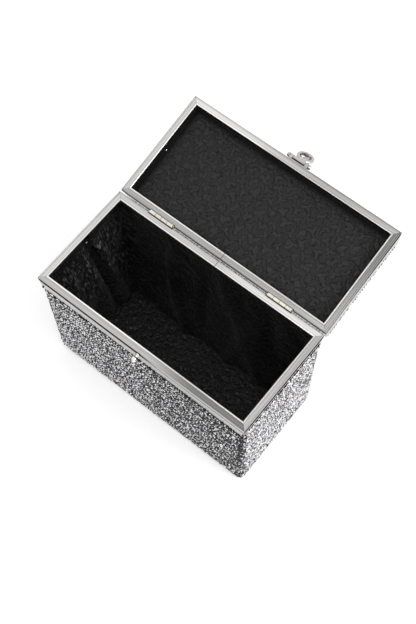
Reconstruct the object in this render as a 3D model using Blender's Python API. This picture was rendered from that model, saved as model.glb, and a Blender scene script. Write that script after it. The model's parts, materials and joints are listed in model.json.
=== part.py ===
"""Box clutch bag, shown open: a stone-covered case and lid in mitred metal frames.

Two knuckle hinges join the frames at the rear. A hasp on the lid snaps over a ball
stud on the body. Metres, +Z up. X runs along the frame, -Y is the front, and the
origin is the middle of the underside. Lid and hasp are drawn shut and then swung
open about their pivots.
"""
import math
from collections import namedtuple

import bmesh
import bpy
from mathutils import Matrix, Vector

# Case
FRAME_WIDTH = 0.180
FRAME_DEPTH = 0.087
BODY_HEIGHT = 0.120
LID_HEIGHT = 0.0235
LID_CROWN = 0.0008
WALL_TAPER = 0.0010
CORNER_RADIUS = 0.0030
BASE_EDGE_RADIUS = 0.0050
LID_EDGE_RADIUS = 0.0020
FLOOR_LIFT = 0.0004
BASE_MARGIN = 0.0080
BASE_CHAMFER = 0.0004
LEAST_FILLET = 0.0003

# Clearances between pieces that seat on each other
SEAT_GAP = 0.0003
PARTING_GAP = 0.0003
OVERRUN = 0.0010

# Layers of the wall, from the outside in; the stones stand in clusters with valleys between them
STONE_HEIGHT = 0.0010
CLUSTER_PITCH = 0.0088
CLUSTER_RELIEF = 0.0007
MESH_THICKNESS = 0.0006
SHELL_WALL = 0.0014
LINING_WALL = 0.0007
PANEL_THICKNESS = 0.0104
PANEL_ROUND = 0.0005
HEM_TUCK = 0.0025

# Frame strip: rim face, rounded edge, groove and sloping skirt
RIM_WIDTH = 0.0052
RIM_THICKNESS = 0.0010
LIP_WIDTH = 0.0011
LAND_WIDTH = 0.0007
DISH_DEPTH = 0.00035
DISH_SLOPE = 0.00015
EDGE_HEIGHT = 0.0058
EDGE_CREST = 0.0018
EDGE_BULGE = 0.00035
EDGE_CHAMFER = 0.00015
GROOVE_HEIGHT = 0.0008
GROOVE_DEPTH = 0.0009
GROOVE_BACKING = 0.0004
SKIRT_INSET = 0.00045
SKIRT_TAPER = 0.00065
HEAD_WALL = 0.0016
BAND_WALL = 0.0009
BAND_HEIGHT = 0.0180
SEAM_GAP = 0.0003
SPLICE_LENGTH = 0.0120
SPLICE_THICKNESS = 0.0007

# Rear hinges
HINGE_OFFSET = 0.0008
HINGE_PLACE = 0.0520
HINGE_LENGTH = 0.0204
BARREL_RADIUS = 0.00145
HINGE_PIN_RADIUS = 0.00045
PIN_HEAD_LENGTH = 0.0004
LEAF_DROP = 0.0056
LEAF_CORNER = 0.0012
NOTCH_DEPTH = 0.0010

# Rivets through the hinge leaves and the latch bracket
RIVET_RADIUS = 0.00045
RIVET_HEAD_RADIUS = 0.0010
RIVET_HEAD_HEIGHT = 0.00035
LEAF_RIVET_EDGE = 0.0040
LEAF_RIVET_STAGGER = 0.0028
LEAF_RIVET_DROP = 0.0043

# Side screws and the blocks that they bite into
SCREW_DROP = 0.0072
SCREW_RADIUS = 0.00045
SCREW_HEAD_RADIUS = 0.0010
SCREW_HEAD_HEIGHT = 0.0006
BLOCK_LENGTH = 0.0110

# Ball stud on the body's band
STUD_DROP = 0.0030
BALL_RADIUS = 0.0023
BALL_OUT = 0.0048
STUD_NECK_RADIUS = 0.0010
COLLAR_RADIUS = 0.0017
COLLAR_HEIGHT = 0.0005
STUD_SHANK_RADIUS = 0.0005
NUT_RADIUS = 0.0014
NUT_THICKNESS = 0.0008

# Latch bracket and hasp
PIVOT_OUT = 0.0036
PIVOT_RISE = 0.0060
KNUCKLE_RADIUS = 0.00175
LATCH_PIN_RADIUS = 0.0006
HASP_KNUCKLE_LENGTH = 0.0100
LUG_LENGTH = 0.0026
FINIAL_LENGTH = 0.0020
FINIAL_RADIUS = 0.0018
FINIAL_NECK = 0.0012
BRACKET_PLATE = 0.0011
BRACKET_DROP = 0.0026
BRACKET_RISE = 0.0060
BRACKET_CORNER = 0.0015
BRACKET_RIVET_SPREAD = 0.0055
BRACKET_RIVET_RISE = 0.0043
DISC_RADIUS = 0.0068
DISC_EDGE = 0.0016
DISC_BACK_OUT = 0.0034
DISC_ROUND = 0.0003
SOCKET_RADIUS = 0.0045
SOCKET_WALL = 0.0020
DOME_WALL = 0.0007
NECK_THICKNESS = 0.0012
NECK_TOE_WIDTH = 0.0072
WIRE_RADIUS = 0.0003
BOW_RISE = 0.0004
WIRE_DEPTH = 0.0005

# Angles, counts and shares
LID_OPEN_ANGLE = math.radians(167.3)
HASP_OPEN_ANGLE = math.radians(132.7)
QUARTER = math.radians(90)
KNUCKLE_COUNT = 4
CORNER_STEPS = 3
EDGE_STEPS = 3
LIP_STEPS = 4
RIM_EDGE_STEPS = 4
ROUND_SIDES = 24
DISC_SIDES = 36
SMALL_SIDES = 10
WIRE_SIDES = 6
BOW_STEPS = 8
BALL_STEPS = 8
DOME_STEPS = 6
SHARP_ANGLE = math.radians(32)
DOME_SHARE = 0.86
SPLICE_SHARE = 0.6

# Places that follow from the sizes
COVER_THICKNESS = STONE_HEIGHT + MESH_THICKNESS
COVER_INSET = SKIRT_INSET + SKIRT_TAPER + BAND_WALL + SEAT_GAP - STONE_HEIGHT
SHELL_OUT = COVER_THICKNESS + SEAT_GAP
SHELL_IN = SHELL_OUT + SHELL_WALL
LINING_OUT = SHELL_IN + SEAT_GAP
LINING_IN = LINING_OUT + LINING_WALL
GROOVE_END = EDGE_HEIGHT + GROOVE_HEIGHT
HEAD_DROP = GROOVE_END + GROOVE_BACKING
HEM_DROP = BAND_HEIGHT - HEM_TUCK
HINGE_Y = FRAME_DEPTH / 2 + HINGE_OFFSET
HINGE_Z = BODY_HEIGHT + PARTING_GAP / 2
LEAF_TOP = BARREL_RADIUS + SEAT_GAP
LATCH_Y = -FRAME_DEPTH / 2 - PIVOT_OUT
LATCH_Z = BODY_HEIGHT + PARTING_GAP + PIVOT_RISE
HASP_REACH = PIVOT_RISE + PARTING_GAP + STUD_DROP
HINGE_PIVOT = Vector((0, HINGE_Y, HINGE_Z))
LATCH_PIVOT = Vector((0, LATCH_Y, LATCH_Z))
# The leaves meet face to face beside the barrels, which stops the lid at its open angle.
LEAF_FACE = LEAF_TOP * math.sin((2 * QUARTER - LID_OPEN_ANGLE) / 2) - SEAT_GAP / 2
LEAF_THICKNESS = HINGE_OFFSET - SEAT_GAP + LEAF_FACE

# One half of the case: depths are measured from its rim plane into it.
Half = namedtuple("Half", "name rim_z sign reach edge_radius taper")
BODY = Half("body", BODY_HEIGHT, -1, BODY_HEIGHT - FLOOR_LIFT, BASE_EDGE_RADIUS, WALL_TAPER)
LID = Half("lid", BODY_HEIGHT + PARTING_GAP, 1, LID_HEIGHT - LID_CROWN, LID_EDGE_RADIUS, 0)
# What a piece hangs on: its empty, and where that empty stands with the case shut.
Carrier = namedtuple("Carrier", "empty pivot")


def clear_scene():
    for item in list(bpy.data.objects):
        bpy.data.objects.remove(item, do_unlink=True)


def make_material(name, colour, roughness, metallic):
    material = bpy.data.materials.new(name)
    material.use_nodes = True
    shader = material.node_tree.nodes["Principled BSDF"]
    shader.inputs["Base Color"].default_value = (*colour, 1)
    shader.inputs["Roughness"].default_value = roughness
    shader.inputs["Metallic"].default_value = metallic
    return material


def make_carriers():
    """The lid's empty on the hinge axis, and on it the hasp's empty on the latch axis."""
    lid_empty = bpy.data.objects.new("lid_pivot", None)
    lid_empty.location = HINGE_PIVOT
    lid_empty.rotation_euler.x = -LID_OPEN_ANGLE
    latch_empty = bpy.data.objects.new("latch_pivot", None)
    latch_empty.parent = lid_empty
    latch_empty.location = LATCH_PIVOT - HINGE_PIVOT
    latch_empty.rotation_euler.x = -HASP_OPEN_ANGLE
    for empty in (lid_empty, latch_empty):
        bpy.context.scene.collection.objects.link(empty)
    return {
        "body": Carrier(None, Vector()),
        "lid": Carrier(lid_empty, HINGE_PIVOT),
        "latch": Carrier(latch_empty, LATCH_PIVOT),
    }


def make_object(name, mesh_data, carrier, material=None):
    """Turn a bmesh drawn in the shut position into an object on its carrier."""
    bmesh.ops.recalc_face_normals(mesh_data, faces=mesh_data.faces)
    mesh = bpy.data.meshes.new(name)
    mesh_data.to_mesh(mesh)
    mesh_data.free()
    mesh.transform(Matrix.Translation(-carrier.pivot))
    item = bpy.data.objects.new(name, mesh)
    item.parent = carrier.empty
    bpy.context.scene.collection.objects.link(item)
    if material is None:
        item.hide_render = True
        item.display_type = "WIRE"
    else:
        mesh.materials.append(material)
        mesh.shade_smooth()
        mesh.set_sharp_from_angle(angle=SHARP_ANGLE)
    return item


def boolean(item, operand, operation):
    modifier = item.modifiers.new(operation.lower() + "_" + operand.name, "BOOLEAN")
    modifier.operation = operation
    modifier.solver = "EXACT"
    modifier.object = operand


def add_loft(mesh_data, loops, ring=False):
    """Skin loops of equal length; cap both ends, or join the last loop to the first."""
    rows = [[mesh_data.verts.new(point) for point in loop] for loop in loops]
    pairs = list(zip(rows, rows[1:]))
    if ring:
        pairs.append((rows[-1], rows[0]))
    else:
        mesh_data.faces.new(rows[0])
        mesh_data.faces.new(rows[-1])
    for near, far in pairs:
        for place, corner in enumerate(near):
            after = (place + 1) % len(near)
            mesh_data.faces.new((corner, near[after], far[after], far[place]))


def add_turned(mesh_data, profile, origin, axis, sides):
    """Revolve (distance along axis, radius) points; a point of no radius is a pole."""
    axis = Vector(axis)
    across = axis.orthogonal().normalized()
    other = axis.cross(across)
    rows = []
    for along, radius in profile:
        centre = Vector(origin) + along * axis
        if radius == 0:
            rows.append([mesh_data.verts.new(centre)])
            continue
        row = []
        for side in range(sides):
            turn = 4 * QUARTER * side / sides
            row.append(mesh_data.verts.new(centre + radius * (math.cos(turn) * across + math.sin(turn) * other)))
        rows.append(row)
    for near, far in zip(rows, rows[1:]):
        for side in range(sides):
            after = (side + 1) % sides
            corners = [near[side % len(near)], near[after % len(near)], far[after % len(far)], far[side % len(far)]]
            mesh_data.faces.new(list(dict.fromkeys(corners)))
    for row in (rows[0], rows[-1]):
        if len(row) > 1:
            mesh_data.faces.new(row)


def add_rod(mesh_data, start, end, radius, sides=SMALL_SIDES):
    reach = Vector(end) - Vector(start)
    add_turned(mesh_data, [(0, radius), (reach.length, radius)], start, reach.normalized(), sides)


def add_prism(mesh_data, outline, shift):
    """Extrude a closed outline of points by one shift."""
    add_loft(mesh_data, [outline, [point + shift for point in outline]])


def arc_points(radius, start, end, steps):
    """Points (radius * cos, radius * sin) from one angle to another."""
    angles = [start + (end - start) * step / steps for step in range(steps + 1)]
    return [(radius * math.cos(angle), radius * math.sin(angle)) for angle in angles]


def rounded_outline(low, high, corner):
    """Points (a, b) of a rectangle with rounded corners."""
    points = []
    centres = ((high[0] - corner, high[1] - corner), (low[0] + corner, high[1] - corner),
               (low[0] + corner, low[1] + corner), (high[0] - corner, low[1] + corner))
    for quadrant, (centre_a, centre_b) in enumerate(centres):
        for a, b in arc_points(corner, quadrant * QUARTER, (quadrant + 1) * QUARTER, CORNER_STEPS):
            points.append((centre_a + a, centre_b + b))
    return points


def height(half, depth):
    return half.rim_z + half.sign * depth


def lean(half, depth):
    """How far the side wall has drawn in at this depth."""
    return half.taper * depth / half.reach


def edge_inset(depth):
    """How far inside the crest the rounded edge lies at this depth."""
    return EDGE_BULGE * ((depth - EDGE_CREST) / (EDGE_HEIGHT - EDGE_CREST)) ** 2


def skirt_inset(depth):
    """How far inside the crest the skirt's outer face lies at this depth."""
    return SKIRT_INSET + SKIRT_TAPER * (depth - GROOVE_END) / (BAND_HEIGHT - GROOVE_END)


def plan_loop(half, inset, depth, corner):
    """Rounded rectangle at one depth, this far inside the frame's outer faces."""
    half_x = FRAME_WIDTH / 2 - inset
    half_y = FRAME_DEPTH / 2 - inset
    outline = rounded_outline((-half_x, -half_y), (half_x, half_y), max(corner, LEAST_FILLET))
    return [Vector((x, y, height(half, depth))) for x, y in outline]


def wall_loops(half, offset, start):
    """Loops of one wall surface, from a start depth down the side and round the far edge."""
    rounding = max(half.edge_radius - offset, LEAST_FILLET)
    turn = half.reach - offset - rounding
    side = COVER_INSET + offset + lean(half, turn)
    loops = [plan_loop(half, COVER_INSET + offset + lean(half, start), start, CORNER_RADIUS - offset)]
    for drawn, dropped in arc_points(rounding, 0, QUARTER, EDGE_STEPS):
        inset = rounding - drawn
        loops.append(plan_loop(half, side + inset, turn + dropped, CORNER_RADIUS - offset - inset))
    return loops


def add_tray(mesh_data, half, outer, inner, start):
    """A tray with one open side: outer surface from its floor to the start, then the inner one."""
    add_loft(mesh_data, wall_loops(half, outer, start)[::-1] + wall_loops(half, inner, start))


def hem_loops(half):
    """Outer top of the cover: the bare mesh that tucks behind the band, as far as the stones."""
    hem = COVER_INSET + STONE_HEIGHT
    step = BAND_HEIGHT + SEAT_GAP
    return [
        plan_loop(half, hem, HEM_DROP, CORNER_RADIUS - STONE_HEIGHT),
        plan_loop(half, hem + lean(half, step), step, CORNER_RADIUS - STONE_HEIGHT),
    ]


def add_row(mesh_data, loop, cells=(1, 1)):
    """Vertices of a rounded rectangle: its corner arcs, and its straight sides cut into this many cells."""
    width = CORNER_STEPS + 1
    arcs = []
    for quadrant in range(4):
        arcs.append([mesh_data.verts.new(point) for point in loop[quadrant * width:(quadrant + 1) * width]])
    sides = []
    for quadrant in range(4):
        start = arcs[quadrant][-1].co
        end = arcs[(quadrant + 1) % 4][0].co
        count = cells[quadrant % 2]
        sides.append([mesh_data.verts.new(start.lerp(end, step / count)) for step in range(1, count)])
    return arcs, sides


def side_chain(row, quadrant):
    """From the end of one corner's arc along a straight side to the start of the next arc."""
    arcs, sides = row
    return [arcs[quadrant][-1], *sides[quadrant], arcs[(quadrant + 1) % 4][0]]


def join_rows(mesh_data, near, far):
    """Skin two rows of a wall. Returns the cells of the straight sides that both rows cut alike."""
    cells = []
    for quadrant in range(4):
        near_arc = near[0][quadrant]
        far_arc = far[0][quadrant]
        for step in range(CORNER_STEPS):
            mesh_data.faces.new((near_arc[step], near_arc[step + 1], far_arc[step + 1], far_arc[step]))
        near_side = side_chain(near, quadrant)
        far_side = side_chain(far, quadrant)
        if len(near_side) != len(far_side):
            mesh_data.faces.new(near_side + far_side[::-1])
            continue
        made = []
        for step in range(len(near_side) - 1):
            made.append(mesh_data.faces.new((near_side[step], near_side[step + 1],
                                             far_side[step + 1], far_side[step])))
        if len(made) > 1:
            cells += made
    return cells


def fill_grid(mesh_data, row, cells, crown):
    """Fill a row with a grid of cells that meets the points on its sides and rises to a low crown."""
    count_x, count_y = cells
    rear, left, front, right = [side_chain(row, quadrant) for quadrant in range(4)]
    grid = {}
    for x in range(count_x + 1):
        grid[x, 0] = front[x]
        grid[x, count_y] = rear[count_x - x]
    for y in range(1, count_y):
        grid[0, y] = left[count_y - y]
        grid[count_x, y] = right[y]
        for x in range(1, count_x):
            rise = crown * math.sin(2 * QUARTER * x / count_x) * math.sin(2 * QUARTER * y / count_y)
            grid[x, y] = mesh_data.verts.new((front[x].co.x, right[y].co.y, front[x].co.z + rise))
    last_x = count_x - 1
    last_y = count_y - 1
    corners = {(0, 0): (0, 2), (last_x, 0): (1, 3), (last_x, last_y): (2, 0), (0, last_y): (3, 1)}
    made = []
    for y in range(count_y):
        for x in range(count_x):
            ring = [grid[x, y], grid[x + 1, y], grid[x + 1, y + 1], grid[x, y + 1]]
            if (x, y) in corners:
                place, quadrant = corners[x, y]
                ring[place:place + 1] = row[0][quadrant]
            made.append(mesh_data.faces.new(ring))
    return made


def cluster_count(length):
    return max(round(length / CLUSTER_PITCH), 1)


def cluster_cells():
    """Clusters along the long and the short straight sides."""
    trim = 2 * (COVER_INSET + CORNER_RADIUS)
    return cluster_count(FRAME_WIDTH - trim), cluster_count(FRAME_DEPTH - trim)


def finish_cover(name, mesh_data, clusters, carrier, material):
    """Raise each cluster's middle over the valleys round it, with crisp facets."""
    bmesh.ops.recalc_face_normals(mesh_data, faces=mesh_data.faces)
    raised = bmesh.ops.poke(mesh_data, faces=clusters, offset=CLUSTER_RELIEF)
    mesh_data.faces.index_update()
    facets = [face.index for face in raised["faces"]]
    cover = make_object(name, mesh_data, carrier, material)
    for index in facets:
        cover.data.polygons[index].use_smooth = False
    return cover


def make_body_cover(carriers, material):
    """Stone-set mesh round the sides, turned under the base as far as the base panel."""
    edge = COVER_INSET + lean(BODY, BODY.reach) + BASE_MARGIN - SEAT_GAP
    corner = CORNER_RADIUS - BASE_MARGIN
    top, turn, *bend = wall_loops(BODY, CLUSTER_RELIEF, BAND_HEIGHT + SEAT_GAP)
    bend.append(plan_loop(BODY, edge, BODY.reach - CLUSTER_RELIEF, corner))
    bend.append(plan_loop(BODY, edge, BODY.reach - COVER_THICKNESS, corner))
    bend += wall_loops(BODY, COVER_THICKNESS, HEM_DROP)[::-1]
    mesh_data = bmesh.new()
    rows = [add_row(mesh_data, loop) for loop in hem_loops(BODY)]
    count = cluster_count(top[0].z - turn[0].z)
    for step in range(count + 1):
        loop = [high.lerp(low, step / count) for high, low in zip(top, turn)]
        rows.append(add_row(mesh_data, loop, cluster_cells()))
    rows += [add_row(mesh_data, loop) for loop in bend]
    clusters = []
    for near, far in zip(rows, rows[1:] + rows[:1]):
        clusters += join_rows(mesh_data, near, far)
    return finish_cover("body_cover", mesh_data, clusters, carriers["body"], material)


def make_lid_cover(carriers, material):
    """Stone-set mesh over the lid, with a low crown."""
    *bend, top = wall_loops(LID, CLUSTER_RELIEF, BAND_HEIGHT + SEAT_GAP)
    cells = cluster_cells()
    mesh_data = bmesh.new()
    rows = [add_row(mesh_data, loop) for loop in wall_loops(LID, COVER_THICKNESS, HEM_DROP)[::-1]]
    rows += [add_row(mesh_data, loop) for loop in hem_loops(LID) + bend]
    rows.append(add_row(mesh_data, top, cells))
    for near, far in zip(rows, rows[1:]):
        join_rows(mesh_data, near, far)
    mesh_data.faces.new([corner for arc in rows[0][0] for corner in arc])
    clusters = fill_grid(mesh_data, rows[-1], cells, LID_CROWN)
    return finish_cover("lid_cover", mesh_data, clusters, carriers["lid"], material)


def make_base_panel(carriers, material):
    inset = COVER_INSET + lean(BODY, BODY.reach) + BASE_MARGIN
    corner = CORNER_RADIUS
    loops = [
        plan_loop(BODY, inset + BASE_CHAMFER, BODY_HEIGHT, corner),
        plan_loop(BODY, inset, BODY_HEIGHT - BASE_CHAMFER, corner),
        plan_loop(BODY, inset, BODY.reach - COVER_THICKNESS, corner),
    ]
    mesh_data = bmesh.new()
    add_loft(mesh_data, loops)
    return make_object("base_panel", mesh_data, carriers["body"], material)


def make_tray(name, half, outer, inner, carriers, material):
    mesh_data = bmesh.new()
    add_tray(mesh_data, half, outer, inner, RIM_THICKNESS + SEAT_GAP)
    return make_object(name, mesh_data, carriers[half.name], material)


def make_lid_side_lining(carriers, material):
    """Plain lining round the lid's inner walls."""
    start = RIM_THICKNESS + SEAT_GAP
    floor = LID.reach - LINING_OUT
    loops = []
    for offset, depth in ((LINING_OUT, start), (LINING_OUT, floor), (LINING_IN, floor), (LINING_IN, start)):
        loops.append(plan_loop(LID, COVER_INSET + offset, depth, CORNER_RADIUS - offset))
    mesh_data = bmesh.new()
    add_loft(mesh_data, loops, ring=True)
    return make_object("lid_side_lining", mesh_data, carriers["lid"], material)


def make_lid_lining_panel(carriers, material):
    """Padded panel on the floor of the lid's recess."""
    inset = COVER_INSET + LINING_IN + SEAT_GAP
    back = LID.reach - LINING_OUT
    front = back - PANEL_THICKNESS
    loops = [
        plan_loop(LID, inset, back, CORNER_RADIUS),
        plan_loop(LID, inset, front + PANEL_ROUND, CORNER_RADIUS),
        plan_loop(LID, inset + PANEL_ROUND / 2, front + PANEL_ROUND / 3, CORNER_RADIUS),
        plan_loop(LID, inset + 2 * PANEL_ROUND, front, CORNER_RADIUS),
    ]
    mesh_data = bmesh.new()
    add_loft(mesh_data, loops)
    return make_object("lid_lining_panel", mesh_data, carriers["lid"], material)


def frame_profile():
    """Cross-section of the frame strip as (inset, depth), up the outside and back down the inside."""
    edge = []
    for step in range(RIM_EDGE_STEPS + 1):
        depth = EDGE_HEIGHT + (EDGE_CHAMFER - EDGE_HEIGHT) * step / RIM_EDGE_STEPS
        edge.append((edge_inset(depth), depth))
    lip_middle = RIM_WIDTH - LIP_WIDTH / 2
    lip = []
    for across, drop in arc_points(1, 2 * QUARTER, 0, LIP_STEPS):
        lip.append((lip_middle + across * LIP_WIDTH / 2, DISH_DEPTH * (1 - drop)))
    return [
        (skirt_inset(BAND_HEIGHT), BAND_HEIGHT),
        (SKIRT_INSET, GROOVE_END),
        (GROOVE_DEPTH, GROOVE_END),
        (GROOVE_DEPTH, EDGE_HEIGHT),
        *edge,
        (edge_inset(0) + EDGE_CHAMFER, 0),
        (LAND_WIDTH, 0),
        (LAND_WIDTH + DISH_SLOPE, DISH_DEPTH),
        *lip,
        (RIM_WIDTH, RIM_THICKNESS),
        (HEAD_WALL, RIM_THICKNESS),
        (HEAD_WALL, HEAD_DROP),
        (BAND_WALL + skirt_inset(HEAD_DROP), HEAD_DROP),
        (BAND_WALL + skirt_inset(BAND_HEIGHT), BAND_HEIGHT),
    ]


def make_frame(half, carriers, material):
    """One strip mitred round the four corners, from one side of the rear seam to the other."""
    stations = [(1, 1), (1, -1), (-1, -1), (-1, 1)]
    loops = [[Vector((SEAM_GAP / 2, FRAME_DEPTH / 2 - inset, height(half, depth)))
              for inset, depth in frame_profile()]]
    for side_x, side_y in stations:
        loops.append([Vector((side_x * (FRAME_WIDTH / 2 - inset), side_y * (FRAME_DEPTH / 2 - inset),
                              height(half, depth))) for inset, depth in frame_profile()])
    loops.append([Vector((-point.x, point.y, point.z)) for point in loops[0]])
    mesh_data = bmesh.new()
    add_loft(mesh_data, loops)
    return make_object(half.name + "_frame", mesh_data, carriers[half.name], material)


def make_splice(half, carriers, material):
    """Plate inside the band that bridges the frame's rear seam."""
    top = HEAD_DROP + SEAT_GAP
    bottom = top + SPLICE_SHARE * (HEM_DROP - top)
    outline = []
    for x, depth in ((1, top), (1, bottom), (-1, bottom), (-1, top)):
        face = FRAME_DEPTH / 2 - skirt_inset(depth) - BAND_WALL - SEAT_GAP
        outline.append(Vector((x * SPLICE_LENGTH / 2, face, height(half, depth))))
    mesh_data = bmesh.new()
    add_prism(mesh_data, outline, Vector((0, -SPLICE_THICKNESS, 0)))
    return make_object(half.name + "_seam_splice", mesh_data, carriers[half.name], material)


def knuckle_spans(owner):
    """The stretches of barrel, measured from the hinge's middle, that one leaf owns."""
    pitch = (HINGE_LENGTH + SEAT_GAP) / KNUCKLE_COUNT
    spans = []
    for place in range(owner, KNUCKLE_COUNT, 2):
        start = place * pitch - HINGE_LENGTH / 2
        spans.append((start, start + pitch - SEAT_GAP))
    return spans


def leaf_rivet_places(half):
    """Rivet places along a leaf; the two leaves' rivets are staggered so that their heads pass."""
    spread = HINGE_LENGTH / 2 - LEAF_RIVET_EDGE
    if half is LID:
        spread -= LEAF_RIVET_STAGGER
    return -spread, spread


def leaf_point(half, x, depth, face):
    """A point on the leaf; face 0 is its inner side and 1 its outer side."""
    return Vector((x, FRAME_DEPTH / 2 + SEAT_GAP + face * LEAF_THICKNESS, height(half, depth)))


def make_leaf(half, side, place, owner, carriers, material):
    """Hinge leaf: a comb-shaped plate on the band, with the knuckles that its teeth carry."""
    tooth_top = (BARREL_RADIUS + HINGE_PIN_RADIUS + SEAT_GAP) / 2 - PARTING_GAP / 2
    end = HINGE_LENGTH / 2
    outline = [(end, LEAF_TOP), (end, LEAF_DROP - LEAF_CORNER), (end - LEAF_CORNER, LEAF_DROP),
               (-end + LEAF_CORNER, LEAF_DROP), (-end, LEAF_DROP - LEAF_CORNER), (-end, LEAF_TOP)]
    for start, stop in knuckle_spans(owner):
        outline += [(start, LEAF_TOP), (start, tooth_top), (stop, tooth_top), (stop, LEAF_TOP)]
    outline = [point for place_, point in enumerate(outline) if point != outline[place_ - 1]]
    mesh_data = bmesh.new()
    faces = []
    for face in (0, 1):
        faces.append([leaf_point(half, place + x, depth, face) for x, depth in outline])
    add_loft(mesh_data, faces)
    carrier = carriers[half.name]
    name = "hinge_" + side + "_" + half.name + "_leaf"
    leaf = make_object(name, mesh_data, carrier, material)
    knuckles = bmesh.new()
    for start, stop in knuckle_spans(owner):
        add_rod(knuckles, HINGE_PIVOT + Vector((place + start, 0, 0)),
                HINGE_PIVOT + Vector((place + stop, 0, 0)), BARREL_RADIUS, ROUND_SIDES)
    boolean(leaf, make_object(name + "_knuckle_form", knuckles, carrier), "UNION")
    holes = bmesh.new()
    reach = Vector((HINGE_LENGTH / 2 + OVERRUN, 0, 0))
    middle = HINGE_PIVOT + Vector((place, 0, 0))
    add_rod(holes, middle - reach, middle + reach, HINGE_PIN_RADIUS + SEAT_GAP, ROUND_SIDES)
    for x in leaf_rivet_places(half):
        start = leaf_point(half, place + x, LEAF_RIVET_DROP, 0) - Vector((0, OVERRUN, 0))
        add_rod(holes, start, start + Vector((0, LEAF_THICKNESS + 2 * OVERRUN, 0)), RIVET_RADIUS + SEAT_GAP)
    boolean(leaf, make_object(name + "_hole_cutter", holes, carrier), "DIFFERENCE")
    return leaf


def make_hinge_pin(side, place, carriers, material):
    """Plain rod with a low head at each end of the barrel."""
    end = HINGE_LENGTH / 2
    profile = [
        (-end - SEAT_GAP - PIN_HEAD_LENGTH, 0),
        (-end - SEAT_GAP - PIN_HEAD_LENGTH, HINGE_PIN_RADIUS),
        (-end - SEAT_GAP, BARREL_RADIUS - SEAT_GAP),
        (-end - SEAT_GAP, HINGE_PIN_RADIUS),
    ]
    profile += [(-along, radius) for along, radius in profile[::-1]]
    mesh_data = bmesh.new()
    add_turned(mesh_data, profile, HINGE_PIVOT + Vector((place, 0, 0)), (1, 0, 0), SMALL_SIDES)
    return make_object("hinge_" + side + "_pin", mesh_data, carriers["body"], material)


def add_rivet(mesh_data, head_seat, tail_seat):
    """Rivet from the face under its head to the face under its clinched tail."""
    axis = (head_seat - tail_seat).normalized()
    grip = (head_seat - tail_seat).length
    head = [(height_, RIVET_HEAD_RADIUS * math.cos(turn))
            for height_, turn in ((grip + SEAT_GAP, 0), (grip + SEAT_GAP + RIVET_HEAD_HEIGHT / 2, QUARTER / 3))]
    profile = [
        (-SEAT_GAP - RIVET_HEAD_HEIGHT, 0),
        (-SEAT_GAP - RIVET_HEAD_HEIGHT, RIVET_RADIUS + SEAT_GAP),
        (-SEAT_GAP, RIVET_HEAD_RADIUS),
        (-SEAT_GAP, RIVET_RADIUS),
        (grip + SEAT_GAP, RIVET_RADIUS),
        *head,
        (grip + SEAT_GAP + RIVET_HEAD_HEIGHT, RIVET_RADIUS),
        (grip + SEAT_GAP + RIVET_HEAD_HEIGHT, 0),
    ]
    add_turned(mesh_data, profile, tail_seat, axis, SMALL_SIDES)


def make_leaf_rivets(half, side, place, carriers, material):
    for number, x in enumerate(leaf_rivet_places(half), 1):
        head_seat = leaf_point(half, place + x, LEAF_RIVET_DROP, 1)
        tail_seat = Vector((place + x, FRAME_DEPTH / 2 - HEAD_WALL, head_seat.z))
        mesh_data = bmesh.new()
        add_rivet(mesh_data, head_seat, tail_seat)
        make_object(f"hinge_{side}_{half.name}_rivet_{number}", mesh_data, carriers[half.name], material)


def cut_frame(half, frame, carriers):
    """Hinge notches and rivet holes in the rear band, and the catch or bracket holes in the front one."""
    notches = bmesh.new()
    reach = Vector((HINGE_LENGTH / 2 + PIN_HEAD_LENGTH + 2 * SEAT_GAP, 0, 0))
    for place in (-HINGE_PLACE, HINGE_PLACE):
        outer = FRAME_DEPTH / 2 + OVERRUN
        inner = FRAME_DEPTH / 2 - NOTCH_DEPTH
        outline = []
        for y, depth in ((outer, -OVERRUN), (outer, LEAF_TOP), (inner, LEAF_TOP), (inner, -OVERRUN)):
            outline.append(Vector((place, y, height(half, depth))) - reach)
        add_prism(notches, outline, 2 * reach)
    boolean(frame, make_object(half.name + "_notch_cutter", notches, carriers[half.name]), "DIFFERENCE")
    holes = bmesh.new()
    through = Vector((0, HEAD_WALL + 2 * OVERRUN, 0))
    for place in (-HINGE_PLACE, HINGE_PLACE):
        for x in leaf_rivet_places(half):
            start = Vector((place + x, FRAME_DEPTH / 2 + OVERRUN, height(half, LEAF_RIVET_DROP)))
            add_rod(holes, start, start - through, RIVET_RADIUS + SEAT_GAP)
    front = -FRAME_DEPTH / 2 - OVERRUN
    if half is BODY:
        start = Vector((0, front, height(half, STUD_DROP)))
        add_rod(holes, start, start + through, STUD_SHANK_RADIUS + SEAT_GAP)
    else:
        for x in (-BRACKET_RIVET_SPREAD, BRACKET_RIVET_SPREAD):
            start = Vector((x, front, height(half, PIVOT_RISE + BRACKET_RIVET_RISE)))
            add_rod(holes, start, start + through, RIVET_RADIUS + SEAT_GAP)
    boolean(frame, make_object(half.name + "_hole_cutter", holes, carriers[half.name]), "DIFFERENCE")


def make_side_block(half, side, sign, carriers, material):
    """Block soldered behind the band at one end, which the side screw bites into."""
    top = HEAD_DROP + SEAT_GAP
    bottom = HEM_DROP - SEAT_GAP
    outline = []
    for depth, inner in ((top, False), (bottom, False), (bottom, True), (top, True)):
        inset = BAND_WALL + skirt_inset(depth) + SEAT_GAP
        if inner:
            inset = COVER_INSET + COVER_THICKNESS + lean(half, top)
        outline.append(Vector((sign * (FRAME_WIDTH / 2 - inset), -BLOCK_LENGTH / 2, height(half, depth))))
    mesh_data = bmesh.new()
    add_prism(mesh_data, outline, Vector((0, BLOCK_LENGTH, 0)))
    return make_object(f"{half.name}_side_block_{side}", mesh_data, carriers[half.name], material)


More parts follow.
